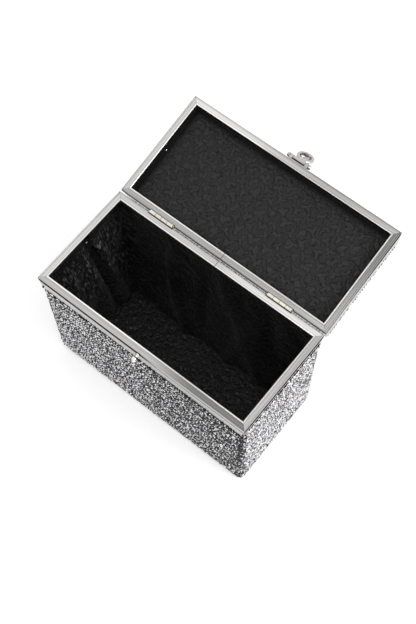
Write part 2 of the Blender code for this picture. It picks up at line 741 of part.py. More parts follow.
def make_side_screw(half, side, sign, carriers, material):
    """Dome-headed screw on one of the lining's short walls."""
    seat = COVER_INSET + LINING_IN + lean(half, SCREW_DROP + SCREW_HEAD_RADIUS) + SEAT_GAP
    tail = BAND_WALL + skirt_inset(SCREW_DROP) + 2 * SEAT_GAP
    profile = [(tail, 0), (tail, SCREW_RADIUS), (seat, SCREW_RADIUS)]
    for radius, rise in arc_points(1, 0, QUARTER, EDGE_STEPS)[:-1]:
        profile.append((seat + rise * SCREW_HEAD_HEIGHT, radius * SCREW_HEAD_RADIUS))
    profile.append((seat + SCREW_HEAD_HEIGHT, 0))
    mesh_data = bmesh.new()
    origin = Vector((sign * FRAME_WIDTH / 2, 0, height(half, SCREW_DROP)))
    add_turned(mesh_data, profile, origin, (-sign, 0, 0), SMALL_SIDES)
    return make_object(f"{half.name}_side_screw_{side}", mesh_data, carriers[half.name], material)


def cut_screw_holes(half, items, carriers):
    mesh_data = bmesh.new()
    for sign in (-1, 1):
        start = Vector((sign * FRAME_WIDTH / 2, 0, height(half, SCREW_DROP)))
        end = start - Vector((sign * (COVER_INSET + LINING_IN + half.taper + OVERRUN), 0, 0))
        add_rod(mesh_data, start, end, SCREW_RADIUS + SEAT_GAP)
    cutter = make_object(half.name + "_screw_cutter", mesh_data, carriers[half.name])
    for item in items:
        boolean(item, cutter, "DIFFERENCE")


def make_catch_stud(carriers, material):
    """Ball on a coned neck and collar, with a shank through the frame's edge."""
    tail = -HEAD_WALL - SEAT_GAP - NUT_THICKNESS
    collar_top = SEAT_GAP + COLLAR_HEIGHT
    neck_end = BALL_OUT - math.sqrt(BALL_RADIUS ** 2 - STUD_NECK_RADIUS ** 2)
    profile = [
        (tail, 0),
        (tail, STUD_SHANK_RADIUS),
        (SEAT_GAP, STUD_SHANK_RADIUS),
        (SEAT_GAP, COLLAR_RADIUS),
        (collar_top, COLLAR_RADIUS),
        ((collar_top + neck_end) / 2, STUD_NECK_RADIUS),
    ]
    start = math.atan2(STUD_NECK_RADIUS, neck_end - BALL_OUT)
    for out, radius in arc_points(BALL_RADIUS, start, 0, BALL_STEPS)[:-1]:
        profile.append((BALL_OUT + out, radius))
    profile.append((BALL_OUT + BALL_RADIUS, 0))
    mesh_data = bmesh.new()
    origin = (0, -FRAME_DEPTH / 2, height(BODY, STUD_DROP))
    add_turned(mesh_data, profile, origin, (0, -1, 0), ROUND_SIDES)
    return make_object("catch_stud", mesh_data, carriers["body"], material)


def make_catch_nut(carriers, material):
    """Hexagonal nut on the stud's shank, behind the frame's edge."""
    face = -FRAME_DEPTH / 2 + HEAD_WALL + SEAT_GAP
    loops = []
    for depth, bore in ((0, False), (NUT_THICKNESS, False), (NUT_THICKNESS, True), (0, True)):
        loop = []
        for side in range(ROUND_SIDES):
            turn = 4 * QUARTER * side / ROUND_SIDES
            off_flat = turn % (2 * QUARTER / 3) - QUARTER / 3
            radius = STUD_SHANK_RADIUS + SEAT_GAP if bore else NUT_RADIUS / math.cos(off_flat)
            loop.append(Vector((radius * math.cos(turn), face + depth,
                                height(BODY, STUD_DROP) + radius * math.sin(turn))))
        loops.append(loop)
    mesh_data = bmesh.new()
    add_loft(mesh_data, loops, ring=True)
    return make_object("catch_nut", mesh_data, carriers["body"], material)


def latch_point(x, out, rise):
    """A point given from the latch axis: out of the band's face and up from the axis."""
    return LATCH_PIVOT + Vector((x, -out, rise))


def bracket_face(rise):
    """The bracket plate's back, out from the latch axis: it leans on the frame's edge and skirt."""
    far = skirt_inset(PIVOT_RISE + BRACKET_RISE)
    return SEAT_GAP - PIVOT_OUT - far * (rise + BRACKET_DROP) / (BRACKET_RISE + BRACKET_DROP)


def make_latch_bracket(carriers, material):
    """Plate on the lid's band with two rounded lugs that hold the latch pin."""
    half_x = HASP_KNUCKLE_LENGTH / 2 + SEAT_GAP + LUG_LENGTH
    outline = rounded_outline((-half_x, -BRACKET_DROP), (half_x, BRACKET_RISE), BRACKET_CORNER)
    back = [latch_point(x, bracket_face(rise), rise) for x, rise in outline]
    mesh_data = bmesh.new()
    add_prism(mesh_data, back, Vector((0, -BRACKET_PLATE, 0)))
    bracket = make_object("latch_bracket", mesh_data, carriers["lid"], material)
    lug = [(bracket_face(KNUCKLE_RADIUS) + BRACKET_PLATE / 2, -KNUCKLE_RADIUS)]
    lug += arc_points(KNUCKLE_RADIUS, -QUARTER, QUARTER, DOME_STEPS)
    lug.append((lug[0][0], KNUCKLE_RADIUS))
    lugs = bmesh.new()
    for start in (-half_x, half_x - LUG_LENGTH):
        add_prism(lugs, [latch_point(start, out, rise) for out, rise in lug], Vector((LUG_LENGTH, 0, 0)))
    boolean(bracket, make_object("latch_lug_form", lugs, carriers["lid"]), "UNION")
    holes = bmesh.new()
    add_rod(holes, latch_point(-half_x - OVERRUN, 0, 0), latch_point(half_x + OVERRUN, 0, 0),
            LATCH_PIN_RADIUS + SEAT_GAP)
    for x in (-BRACKET_RIVET_SPREAD, BRACKET_RIVET_SPREAD):
        start = latch_point(x, bracket_face(BRACKET_RISE) - OVERRUN, BRACKET_RIVET_RISE)
        add_rod(holes, start, start - Vector((0, BRACKET_PLATE + 2 * OVERRUN, 0)), RIVET_RADIUS + SEAT_GAP)
    boolean(bracket, make_object("latch_bracket_cutter", holes, carriers["lid"]), "DIFFERENCE")
    return bracket


def make_latch_rivets(carriers, material):
    for side, x in (("left", -BRACKET_RIVET_SPREAD), ("right", BRACKET_RIVET_SPREAD)):
        face = bracket_face(BRACKET_RIVET_RISE - RIVET_HEAD_RADIUS) + BRACKET_PLATE
        head_seat = latch_point(x, face, BRACKET_RIVET_RISE)
        inside = BAND_WALL + skirt_inset(PIVOT_RISE + BRACKET_RIVET_RISE + RIVET_HEAD_RADIUS)
        tail_seat = Vector((x, -FRAME_DEPTH / 2 + inside, head_seat.z))
        mesh_data = bmesh.new()
        add_rivet(mesh_data, head_seat, tail_seat)
        make_object("latch_rivet_" + side, mesh_data, carriers["lid"], material)


def make_latch_pin(carriers, material):
    """Rod through the lugs and the hasp, with a ball finial at each end."""
    start = HASP_KNUCKLE_LENGTH / 2 + SEAT_GAP + LUG_LENGTH + SEAT_GAP
    profile = [(start + FINIAL_LENGTH, 0)]
    for radius, along in arc_points(1, QUARTER, 0, DOME_STEPS)[1:]:
        profile.append((start + along * FINIAL_LENGTH, FINIAL_NECK + radius * (FINIAL_RADIUS - FINIAL_NECK)))
    profile += [(start, FINIAL_NECK), (start, LATCH_PIN_RADIUS)]
    profile = [(-along, radius) for along, radius in profile] + profile[::-1]
    mesh_data = bmesh.new()
    add_turned(mesh_data, profile, LATCH_PIVOT, (1, 0, 0), ROUND_SIDES)
    return make_object("latch_pin", mesh_data, carriers["lid"], material)


def hasp_knuckle_outline():
    """Round knuckle, as (out, rise), with a nose that rests on the bracket when the hasp hangs open."""
    slope = math.atan((bracket_face(0) - bracket_face(BRACKET_RISE)) / BRACKET_RISE)
    rest = (bracket_face(0) + BRACKET_PLATE) * math.cos(slope) + SEAT_GAP
    turn = 2 * QUARTER + slope - HASP_OPEN_ANGLE
    up = Vector((math.cos(turn), math.sin(turn)))
    down = Vector((math.sin(turn), -math.cos(turn)))
    round_side = arc_points(KNUCKLE_RADIUS, turn, turn + 3 * QUARTER, ROUND_SIDES)
    return round_side + [tuple(KNUCKLE_RADIUS * down - rest * up), tuple(-rest * up)]


def make_hasp(carriers, material):
    """Round button with a socket in its back, hung from the latch pin by a short neck."""
    ball_front = BALL_OUT + BALL_RADIUS + SEAT_GAP
    rim = DISC_RADIUS - DISC_ROUND
    front = DISC_BACK_OUT + DISC_EDGE
    inner_dome = []
    for radius, rise in arc_points(1, 0, QUARTER, DOME_STEPS)[:-1]:
        floor = DISC_BACK_OUT + SOCKET_WALL
        inner_dome.append((floor + rise * (ball_front - floor), radius * SOCKET_RADIUS))
    outer_dome = []
    for radius, rise in arc_points(1, QUARTER, 0, DOME_STEPS)[1:]:
        outer_dome.append((front + rise * (ball_front + DOME_WALL - front), radius * DISC_RADIUS * DOME_SHARE))
    profile = [
        (ball_front, 0),
        *inner_dome[::-1],
        (DISC_BACK_OUT, SOCKET_RADIUS),
        (DISC_BACK_OUT, rim),
        (DISC_BACK_OUT + DISC_ROUND, DISC_RADIUS),
        (front - DISC_ROUND, DISC_RADIUS),
        (front, rim),
        *outer_dome[::-1],
        (ball_front + DOME_WALL, 0),
    ]
    mesh_data = bmesh.new()
    origin = LATCH_PIVOT + Vector((0, PIVOT_OUT, -HASP_REACH))
    add_turned(mesh_data, profile, origin, (0, -1, 0), DISC_SIDES)
    hasp = make_object("latch_hasp", mesh_data, carriers["latch"], material)
    half_x = HASP_KNUCKLE_LENGTH / 2
    knuckle = bmesh.new()
    add_prism(knuckle, [latch_point(-half_x, out, rise) for out, rise in hasp_knuckle_outline()],
              Vector((HASP_KNUCKLE_LENGTH, 0, 0)))
    boolean(hasp, make_object("latch_knuckle_form", knuckle, carriers["latch"]), "UNION")
    toe = HASP_REACH - (SOCKET_RADIUS + DISC_RADIUS) / 2
    heel = LATCH_PIN_RADIUS + SEAT_GAP
    neck_back = DISC_BACK_OUT + (DISC_EDGE - NECK_THICKNESS) / 2 - PIVOT_OUT
    neck = [(-half_x, -heel), (half_x, -heel), (half_x, -KNUCKLE_RADIUS), (NECK_TOE_WIDTH / 2, -toe),
            (-NECK_TOE_WIDTH / 2, -toe), (-half_x, -KNUCKLE_RADIUS)]
    plate = bmesh.new()
    add_prism(plate, [latch_point(x, neck_back, rise) for x, rise in neck], Vector((0, -NECK_THICKNESS, 0)))
    boolean(hasp, make_object("latch_neck_form", plate, carriers["latch"]), "UNION")
    bore = bmesh.new()
    add_rod(bore, latch_point(-half_x - OVERRUN, 0, 0), latch_point(half_x + OVERRUN, 0, 0),
            LATCH_PIN_RADIUS + SEAT_GAP)
    boolean(hasp, make_object("latch_bore_cutter", bore, carriers["latch"]), "DIFFERENCE")
    return hasp


def make_latch_springs(carriers, material):
    """Two bowed wires across the socket, which grip the ball from both sides."""
    middle = BALL_RADIUS + SEAT_GAP + WIRE_RADIUS
    end = middle + BOW_RISE
    free = SOCKET_RADIUS - WIRE_RADIUS - SEAT_GAP
    reach = math.sqrt(free ** 2 - end ** 2)
    depth = DISC_BACK_OUT + WIRE_DEPTH + WIRE_RADIUS - PIVOT_OUT
    for side, sign in (("left", -1), ("right", 1)):
        loops = []
        for step in range(BOW_STEPS + 1):
            share = 2 * step / BOW_STEPS - 1
            centre = latch_point(sign * (middle + BOW_RISE * share ** 2), depth, reach * share - HASP_REACH)
            along = Vector((sign * 2 * BOW_RISE * share, 0, reach)).normalized()
            across = along.cross(Vector((0, 1, 0)))
            loops.append([centre + a * across + Vector((0, b, 0))
                          for a, b in arc_points(WIRE_RADIUS, 0, 4 * QUARTER, WIRE_SIDES)[:-1]])
        mesh_data = bmesh.new()
        add_loft(mesh_data, loops)
        make_object("latch_spring_" + side, mesh_data, carriers["latch"], material)


def make_materials():
    return {
        "frame": make_material("brushed_frame", (0.62, 0.62, 0.61), 0.32, 1),
        "hinge": make_material("hinge_metal", (0.66, 0.60, 0.50), 0.28, 1),
        "polish": make_material("polished_metal", (0.72, 0.71, 0.70), 0.12, 1),
        "spring": make_material("spring_steel", (0.58, 0.57, 0.52), 0.25, 1),
        "shell": make_material("shell_board", (0.05, 0.05, 0.05), 0.6, 0),
        "stones": make_material("stone_mesh", (0.46, 0.46, 0.48), 0.2, 0.4),
        "base": make_material("base_leather", (0.03, 0.03, 0.03), 0.55, 0),
        "lining": make_material("black_lining", (0.012, 0.012, 0.013), 0.9, 0),
        "jacquard": make_material("charcoal_jacquard", (0.028, 0.028, 0.03), 0.8, 0),
    }


def build():
    clear_scene()
    carriers = make_carriers()
    looks = make_materials()
    make_body_cover(carriers, looks["stones"])
    make_lid_cover(carriers, looks["stones"])
    make_base_panel(carriers, looks["base"])
    body_shell = make_tray("body_shell", BODY, SHELL_OUT, SHELL_IN, carriers, looks["shell"])
    lid_shell = make_tray("lid_shell", LID, SHELL_OUT, SHELL_IN, carriers, looks["shell"])
    body_lining = make_tray("body_lining", BODY, LINING_OUT, LINING_IN, carriers, looks["lining"])
    lid_side_lining = make_lid_side_lining(carriers, looks["lining"])
    make_lid_lining_panel(carriers, looks["jacquard"])
    for half, walls in ((BODY, (body_shell, body_lining)), (LID, (lid_shell, lid_side_lining))):
        frame = make_frame(half, carriers, looks["frame"])
        cut_frame(half, frame, carriers)
        make_splice(half, carriers, looks["frame"])
        blocks = []
        for side, sign in (("left", -1), ("right", 1)):
            blocks.append(make_side_block(half, side, sign, carriers, looks["frame"]))
            make_side_screw(half, side, sign, carriers, looks["polish"])
        cut_screw_holes(half, (*walls, *blocks), carriers)
    for side, place in (("left", -HINGE_PLACE), ("right", HINGE_PLACE)):
        make_leaf(BODY, side, place, 0, carriers, looks["hinge"])
        make_leaf(LID, side, place, 1, carriers, looks["hinge"])
        make_leaf_rivets(BODY, side, place, carriers, looks["polish"])
        make_leaf_rivets(LID, side, place, carriers, looks["polish"])
        make_hinge_pin(side, place, carriers, looks["hinge"])
    make_catch_stud(carriers, looks["polish"])
    make_catch_nut(carriers, looks["frame"])
    make_latch_bracket(carriers, looks["polish"])
    make_latch_rivets(carriers, looks["polish"])
    make_latch_pin(carriers, looks["polish"])
    make_hasp(carriers, looks["polish"])
    make_latch_springs(carriers, looks["spring"])


build()
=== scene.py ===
import functools
import json
import math
from dataclasses import dataclass

import bmesh
import bpy
import numpy as np
from mathutils import Matrix, Vector


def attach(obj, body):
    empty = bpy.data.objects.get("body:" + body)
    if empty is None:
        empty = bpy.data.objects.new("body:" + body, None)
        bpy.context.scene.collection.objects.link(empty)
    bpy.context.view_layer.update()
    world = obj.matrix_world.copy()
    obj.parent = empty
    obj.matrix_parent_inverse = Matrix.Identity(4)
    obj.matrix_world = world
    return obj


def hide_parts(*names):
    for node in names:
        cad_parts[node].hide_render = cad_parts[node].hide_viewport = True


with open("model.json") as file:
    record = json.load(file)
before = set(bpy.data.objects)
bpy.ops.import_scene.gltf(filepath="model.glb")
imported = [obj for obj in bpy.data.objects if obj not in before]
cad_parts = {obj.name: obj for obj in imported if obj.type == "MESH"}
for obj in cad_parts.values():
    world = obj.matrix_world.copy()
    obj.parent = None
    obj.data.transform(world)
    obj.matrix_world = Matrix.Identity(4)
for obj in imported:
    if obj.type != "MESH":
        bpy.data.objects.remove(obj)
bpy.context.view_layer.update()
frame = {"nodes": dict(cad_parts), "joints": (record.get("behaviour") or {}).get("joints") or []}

# Looks of a box clutch bag that stands open: stones, brushed frames, linings, light and camera.
# Metres, +Z up. The front faces -Y, and pieces of the lid are drawn shut and then swung open.
# A pair in a paint value holds the two places between which a look fades in.

# Case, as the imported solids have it
FRAME_WIDTH = 0.180
FRAME_DEPTH = 0.087
BODY_HEIGHT = 0.120
LID_HEIGHT = 0.0235
LID_CROWN = 0.0008
WALL_TAPER = 0.0010
PARTING_GAP = 0.0003
FLOOR_LIFT = 0.0004
COVER_INSET = 0.0013
CORNER_RADIUS = 0.0030
BASE_EDGE_RADIUS = 0.0050
LID_EDGE_RADIUS = 0.0020
BASE_MARGIN = 0.0077
BAND_HEIGHT = 0.0180
RIM_THICKNESS = 0.0013
RIM_WIDTH = 0.0052
LIP_WIDTH = 0.0013
LINING_OUT = 0.0036
LINING_IN = 0.0043
PANEL_THICKNESS = 0.0104

# Frame metal: the rim's tone and its painted light on the right, rear, left and front side: painted
# reflection levels on the rim face, skirt and crest, a painted highlight on the lip, a painted dark
# reflection on the rounded edge and painted shade in the groove.
# A pair holds the values at the side's two ends, and a row of four also says between which places along the
# side they change.
FRAME_TONES_AND_PAINTED_LIGHT = {
    "body": {
        "rim": ((0.50, 0.48), (0.60, 0.76, -0.002, 0.020), (0.68, 0.64), (0.50, 0.21, 0.005, 0.048)),
        "lip_highlight": (0.58, (0.85, 0.80), 0.80, (1.0, 0.60, -0.02, 0.04)),
        "crest_reflection": (1.0, 1.0, 0.72, 1.0),
        "groove_shade": (1.0, 0.7, 0.6, (0.6, 1.0)),
        "skirt": (0.34, 0.45, 0.45, (0.45, 0.34)),
        "line": (1.0, 1.0, 0.4, (1.0, 0.0, -0.002, 0.020)),
        "dark_reflection_start": (0.0005, 0.0008, 0.0010, 0.0009),
        "dark_reflection_end": (0.0046, 0.0026, 0.0030, 0.0043),
    },
    "lid": {
        "rim": ((0.21, 0.28), (0.40, 0.34), 0.63, (0.78, 0.43, -0.05, 0.03)),
        "lip_highlight": (0.60, (0.88, 0.68), 0.80, (1.0, 0.58, -0.035, -0.012)),
        "crest_reflection": (1.2, 1.0, 0.72, 0.80),
        "groove_shade": (1.0, 0.9, 0.6, 0.6),
        "skirt": (0.24, 0.45, 0.45, 0.45),
        "line": ((1.0, 0.6), 1.0, 0.4, 0.35),
        "dark_reflection_start": (0.0003, 0.0010, 0.0010, 0.0010),
        "dark_reflection_end": (0.0050, 0.0038, 0.0030, 0.0030),
    },
}
LONG_SPAN = (-0.06, 0.06)
END_SPAN = (-0.03, 0.03)
STREAK_SCALES = ((30, 5200), (9, 1500))
STREAK_BLEND = 0.55
# Places of the skirt, the top, the crest and the edge, where the painted reflection levels, the painted lip
# highlight and the painted dark reflection fade in
SKIRT_PAINT = (0.0003, 0.0008)
TOP_PAINT = (0.0004, 0.0009)
CREST_PAINT = (0.0012, 0.0022)
EDGE_PAINT = (0.0009, 0.0013)
# Insets of the painted shade in the rear gap between lid and body
REAR_GAP_SHADE_PAINT = (0.0002, 0.0007)
# Places of the mitre and butt joint lines
MITRE_PAINT = (0.00008, 0.00020)
BUTT_PAINT = (0.00012, 0.00030)
# Depths of the painted shade in the groove
GROOVE_SHADE_PAINT = (0.0046, 0.0066)
# Start and fade of the painted lip highlight, fades of the painted dark reflection and of the painted groove
# shade, the thread line, and the strengths of the painted rear-gap shade, the thread and the joints
LIP_START = RIM_WIDTH - LIP_WIDTH
LIP_FADE = 0.0002
DARK_REFLECTION_FADE = 0.0003
GROOVE_SHADE_FADE = 0.00015
THREAD_WIDTH = 0.0003
THREAD_FADE = 0.0001
REAR_GAP_SHADE_SHARE = 0.5
THREAD_SHARE = 0.45
JOINT_SHARE = 0.55
# Colour of the frame's dark marks: its thread and joint lines, its painted dark reflection and its painted
# shade
DARK_LEVEL = 0.008
METAL_TONE = (1.0, 0.990, 0.972, 1)

# Stones: grid, form, stand over the covering, and the height of the band that they leave bare
STONE_PITCH = 0.00225
ROW_SHARE = math.sqrt(3) / 2
STONE_SIDES = 6
STONE_RINGS = ((None, 0.86), (0.50, 1.0), (0.0, 0.50))
STONE_FILL = 0.47
STONE_SIZES = (0.93, 1.05)
STONE_RISE = 0.0010
STONE_SINK = 0.00015
STONE_STAND = 0.0017
LID_STAND = 0.0013
STAND_SHARES = (0.86, 1.0)
TOP_SHARES = (0.86, 0.98)
FOOT_STANDS = (0.0006, 0.0011)
FOOT_INSET = 0.0008
STONE_JITTER = 0.10
STONE_DRIFT_LIMIT = STONE_PITCH / 5
STONE_TILT = 0.16
TOP_MARGIN = 0.75 * STONE_PITCH
BAND_SHOWN = 0.0163
END_BAND_SHOWN = 0.0115
LID_BAND_SHOWN = 0.0182
CLUSTER_PITCH = 0.0088
CLUSTER_RELIEF = 0.0007
CLUSTER_SHOWN = 0.0003
FACE_TRIM = 2 * (COVER_INSET + CORNER_RADIUS)

# Tones of the stones and of their cups, the cups dark as painted shade between the stones; sides that face
# right have their own, lighter as painted light
STONE_TONES = (0.42, 0.61, 0.80, 1.0, 1.08)
STONE_SHARES = (0.15, 0.25, 0.27, 0.21, 0.12)
FACET_TONES = (0.60, 0.82, 1.02, 1.22, 1.45)
STONE_TINTS = ((1.0, 1.0, 1.0), (1.0, 0.93, 1.0), (0.95, 0.93, 1.04), (1.04, 0.96, 0.97))
TINT_SHARES = (0.55, 0.18, 0.17, 0.10)
# Painted shade: the cups are dark
CUP_SHADE_TONE = 0.02
# Right-facing sides: lighter cups on the lid and lighter stones, as painted light
RIGHT_CUP_TONE = {"body": 0.02, "lid": 0.55}
RIGHT_LIGHT_GAIN = {"body": 1.08, "lid": 1.9}
FACING_RIGHT = 0.7
FACING_END = 0.5
FACING_UP = 0.9

# Dark glints among the stones: spacing and half sizes along and down a wall, wander, share and tone
GLINT_PITCH = (0.0021, 0.0049)
GLINT_REACH = (0.00094, 0.0022)
GLINT_SIZES = (0.8, 1.25)
GLINT_WANDER = 0.22
GLINT_SPREAD = (0.75, 1.15)
GLINT_GROWTH = 0.22
GLINT_SHARE = 0.92
GLINT_TONE = 0.004
# On right-facing sides the dark glints are fewer and lighter, as painted light
RIGHT_GLINT_SHARE = {"body": 0.55, "lid": 0.0}
RIGHT_GLINT_TONE = 0.13

# Net under the stones: place under the cover's face, and depths past the band where it starts and is full
BACKING_INSET = 0.0016
BACKING_THICKNESS = 0.0002
BACKING_SHARE = 1.38
BACKING_TUCK = 0.0025
BACKING_START = 0.0003
BACKING_FULL = 0.0013
BACKING_BEND_STEPS = 5
LID_NET_SHARES = (0.2, 0.45, 0.75)

# Linings
CLOTH_CELL = 0.0032
CLOTH_THICKNESS = 0.00035
CLOTH_FRAMES = 26
CLOTH_REACH = 0.0045
CLOTH_SETTINGS = {
    "quality": 5,
    "mass": 0.15,
    "tension_stiffness": 12,
    "compression_stiffness": 12,
    "shear_stiffness": 4,
    "bending_stiffness": 0.35,
    "vertex_group_mass": "rim",
    "shrink_min": -0.055,
}
CLOTH_GRAVITY = 0.05
CLOTH_LEVEL = 0.7
END_MAP_SHIFT = 0.3
SWELL_WAVES = 14
SWELL_SCALE = 110
SWELL_DEPTH = 0.004
SLUMP_WALL = 0.0060
SLUMP_END = 0.0105
SLUMP_ROUND = 0.0090
RIM_ROUND = 0.0015
RIM_SLOPE = 0.30
WALL_ZONE = 0.0005
FLOOR_ROUND = 0.010
FLOOR_ROUND_ZONE = 0.012
FLOOR_ROUND_SLACK = 0.004
FLOOR_ZONE = 0.002
SIDE_CORNER = 0.0012
SIDE_BOW = 0.00015
SIDE_SWELL = 0.00018
SIDE_WAVES = 60
SIDE_STEPS = 6
PANEL_GAP = 0.0003
PANEL_CELLS = (88, 40)
PANEL_EASE = 0.35
PANEL_FALL = 0.0011
PANEL_SINK = 0.0004
PANEL_CROWN = 0.0004
PANEL_CROWN_REACH = 0.012
PANEL_WAVES = 8
PANEL_WAVE_SCALE = 140
PANEL_DENT = 0.00004
PANEL_DENT_REACH = 0.006
PANEL_SHARP_ANGLE = 50

# Folds of the hanging cloth: place, lean (a slope), width and lift, and how far from rim and foot they fade
LEFT_FOLDS = (
    (0.0060, 0.14, 0.0042, 0.0060),
    (0.0000, 0.12, 0.0030, -0.0030),
    (-0.0090, 0.10, 0.0050, 0.0050),
    (-0.0180, 0.06, 0.0040, 0.0025),
    (-0.0260, 0.04, 0.0045, 0.0040),
)
LEFT_FADE = 0.030
LEFT_FOOT_FADE = 0.015
REAR_FOLDS = (
    (-0.0550, 0.30, 0.0070, 0.0030),
    (0.0100, 0.45, 0.0090, 0.0025),
    (0.0480, -0.20, 0.0060, 0.0030),
)
REAR_FADE = 0.040
FLOOR_FOLDS = (
    (-0.0200, 0.03, 0.0045, 0.0045),
    (-0.0080, -0.05, 0.0050, 0.0020),
)

# Painted light on the tray's cloth: painted shade on its sides, and the places of its painted satin
# highlights in strokes, of its crease with painted shade in it and painted highlights beside it, and of the
# painted shadow along its pleat
FLOOR_SHADE = 0.60
FLOOR_PAINT = (0.010, 0.026)
REAR_SHADE = 0.33
REAR_PAINT = (0.024, 0.035)
LEFT_SHADE = 0.25
LEFT_PAINT = (-0.078, -0.068)
STROKE_TURN = (0.6, 0, 0)
STROKE_SCALE = (60, 620, 170)
STROKE_GAIN = 6.0
STROKE_PAINT = (0.004, 0.018)
STROKE_FOOT_PAINT = (0.055, 0.090)
CREASE_LEAN = 0.12
CREASE_PAINT = (0.0022, 0.0050)
FLANK_PAINT = (0.0070, 0.0130)
PLEAT_PLACE = -0.0125
PLEAT_PAINT = (0.0008, 0.0030)

# Jacquard sprig: its repeat, and the turns, place, half length and half width of its leaves as shares of it
SPRIG_REPEAT = (0.0125, 0.0115)
SPRIG_TURNS = (0, 120, 240)
SPRIG_DROP_TURN = 150
SPRIG_REACH = 0.17
SPRIG_WOBBLE = 0.0090
LEAF_LENGTH = 0.21
LEAF_WIDTH = 0.13

# Stage: the camera's distance and shift are shares of the case's width
WORLD_LEVEL = 0.50
FLOOR_TONE = 0.95
FLOOR_GLOW = 0.40
FLOOR_REACH = 4.0
FLOOR_DEPTH = 0.0001
CARD_REACH = 1.3
CARD_HEIGHT = 0.40
CARD_TURNS_AND_WIDTHS = ((-150, 1.5), (25, 1.3))
LAMPS = (
    ("key", (1.0, 0.35, 1.0), (0, 0.02, 0.08), 0.8, 9),
    ("top", (0.2, -0.3, 1.3), (0, 0, 0.05), 0.6, 4.2),
)
CAMERA_AZIMUTH = 39.65
CAMERA_ELEVATION = 65.54
CAMERA_ROLL = -1.17
CAMERA_DISTANCE = 4.4497
CAMERA_SHIFT = (0.1090, -0.0235)
CAMERA_LENS = 102.09
TINY = 1e-9

rng = np.random.default_rng(7)
joints = {joint["name"]: joint for joint in frame["joints"]}


def open_matrix(joint):
    """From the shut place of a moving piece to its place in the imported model."""
    pivot = Matrix.Translation(Vector(joint["pos_m"]))
    turn = Matrix.Rotation(-math.radians(joint["range_deg"][1]), 4, Vector(joint["axis"]))
    return pivot @ turn @ pivot.inverted()


@dataclass
class Half:
    """One half of the case; depths run from its rim plane into it."""

    name: str
    rim_z: float
    sign: int
    reach: float
    edge_radius: float
    taper: float
    stand: float
    matrix: Matrix = None

    def z(self, depth):
        return self.rim_z + self.sign * depth

    def lean(self, depth):
        return self.taper * depth / self.reach


BODY = Half("body", BODY_HEIGHT, -1, BODY_HEIGHT - FLOOR_LIFT, BASE_EDGE_RADIUS, WALL_TAPER, STONE_STAND)
LID = Half("lid", BODY_HEIGHT + PARTING_GAP, 1, LID_HEIGHT - LID_CROWN, LID_EDGE_RADIUS, 0, LID_STAND,
           open_matrix(joints["lid_hinge"]))


# Materials

class Tree:
    """The nodes of a material or a world, with short calls for the ones used here."""

    def __init__(self, owner):
        owner.use_nodes = True
        self.owner = owner
        self.nodes = owner.node_tree.nodes
        self.links = owner.node_tree.links

    def node(self, kind, inputs=(), **settings):
        made = self.nodes.new("ShaderNode" + kind)
        for key, value in settings.items():
            setattr(made, key, value)
        for key, value in dict(inputs).items():
            self.put(made.inputs[key], value)
        return made

    def put(self, socket, value):
        if isinstance(value, bpy.types.NodeSocket):
            self.links.new(value, socket)
        else:
            socket.default_value = value

    def math(self, operation, *values):
        """A chain of one operation over two or more values."""
        def step(first, second):
            return self.node("Math", {0: first, 1: second}, operation=operation).outputs[0]
        return functools.reduce(step, values)

    def times(self, *values):
        return self.math("MULTIPLY", *values)

    def minus(self, first, second):
        return self.math("SUBTRACT", first, second)

    def most(self, *values):
        return self.math("MAXIMUM", *values)

    def distance(self, value, place=0.0):
        """How far a value lies from a place, without its sign."""
        return self.math("ABSOLUTE", self.minus(value, place), 0.0)

    def vector(self, operation, *values, output=0):
        return self.node("VectorMath", enumerate(values), operation=operation).outputs[output]

    def ramp(self, value, low, high, first=0.0, last=1.0):
        inputs = {"Value": value, "From Min": low, "From Max": high, "To Min": first, "To Max": last}
        return self.node("MapRange", inputs, interpolation_type="SMOOTHSTEP").outputs[0]

    def blend(self, factor, first, second):
        return self.node("Mix", {"Factor": factor, "A": first, "B": second}).outputs[0]

    def band(self, value, low, high, soft):
        """1 between two values, with soft ends."""
        rising = self.ramp(self.minus(value, low), -soft, soft)
        return self.times(rising, self.ramp(self.minus(value, high), -soft, soft, 1, 0))

    def mix(self, factor, first, second):
        """A mix of two colours."""
        return self.node("Mix", {"Factor": factor, 6: first, 7: second}, data_type="RGBA").outputs[2]

    def mapped(self, vector, **values):
        return self.node("Mapping", {"Vector": vector, **values}).outputs[0]

    def place(self, matrix=None):
        """The object's own coordinates, in metres, turned to the shut place."""
        coordinates = self.node("TexCoord").outputs["Object"]
        if matrix is None:
            return coordinates
        inverse = matrix.inverted()
        return self.mapped(coordinates, Location=inverse.to_translation(), Rotation=inverse.to_euler())

    def axes(self, vector):
        return self.node("SeparateXYZ", {0: vector}).outputs

    def noise(self, vector, scale, detail=2.0, roughness=0.5, output="Fac"):
        inputs = {"Vector": vector, "Scale": scale, "Detail": detail, "Roughness": roughness}
        return self.node("TexNoise", inputs).outputs[output]

    def cell_edges(self, vector, scale):
        inputs = {"Vector": vector, "Scale": scale}
        return self.node("TexVoronoi", inputs, feature="DISTANCE_TO_EDGE").outputs[0]

    def bump(self, height, distance, strength=1.0, **normal):
        inputs = {"Height": height, "Distance": distance, "Strength": strength, **normal}
        return self.node("Bump", inputs).outputs[0]

    def seen(self):
        """1 for what the camera sees itself, in a mirror or through glass."""
        path = self.node("LightPath").outputs
        return self.most(path["Is Camera Ray"], path["Is Glossy Ray"], path["Is Transmission Ray"])

    def finish(self, **values):
        shader = self.nodes["Principled BSDF"]
        for key, value in values.items():
            self.put(shader.inputs[key.replace("_", " ")], value)
        return self.owner


def material_tree(name):
    return Tree(bpy.data.materials.new(name))


def grey(value, warm=0.0):
    return (value * (1 + warm), value, value * (1 - warm), 1)


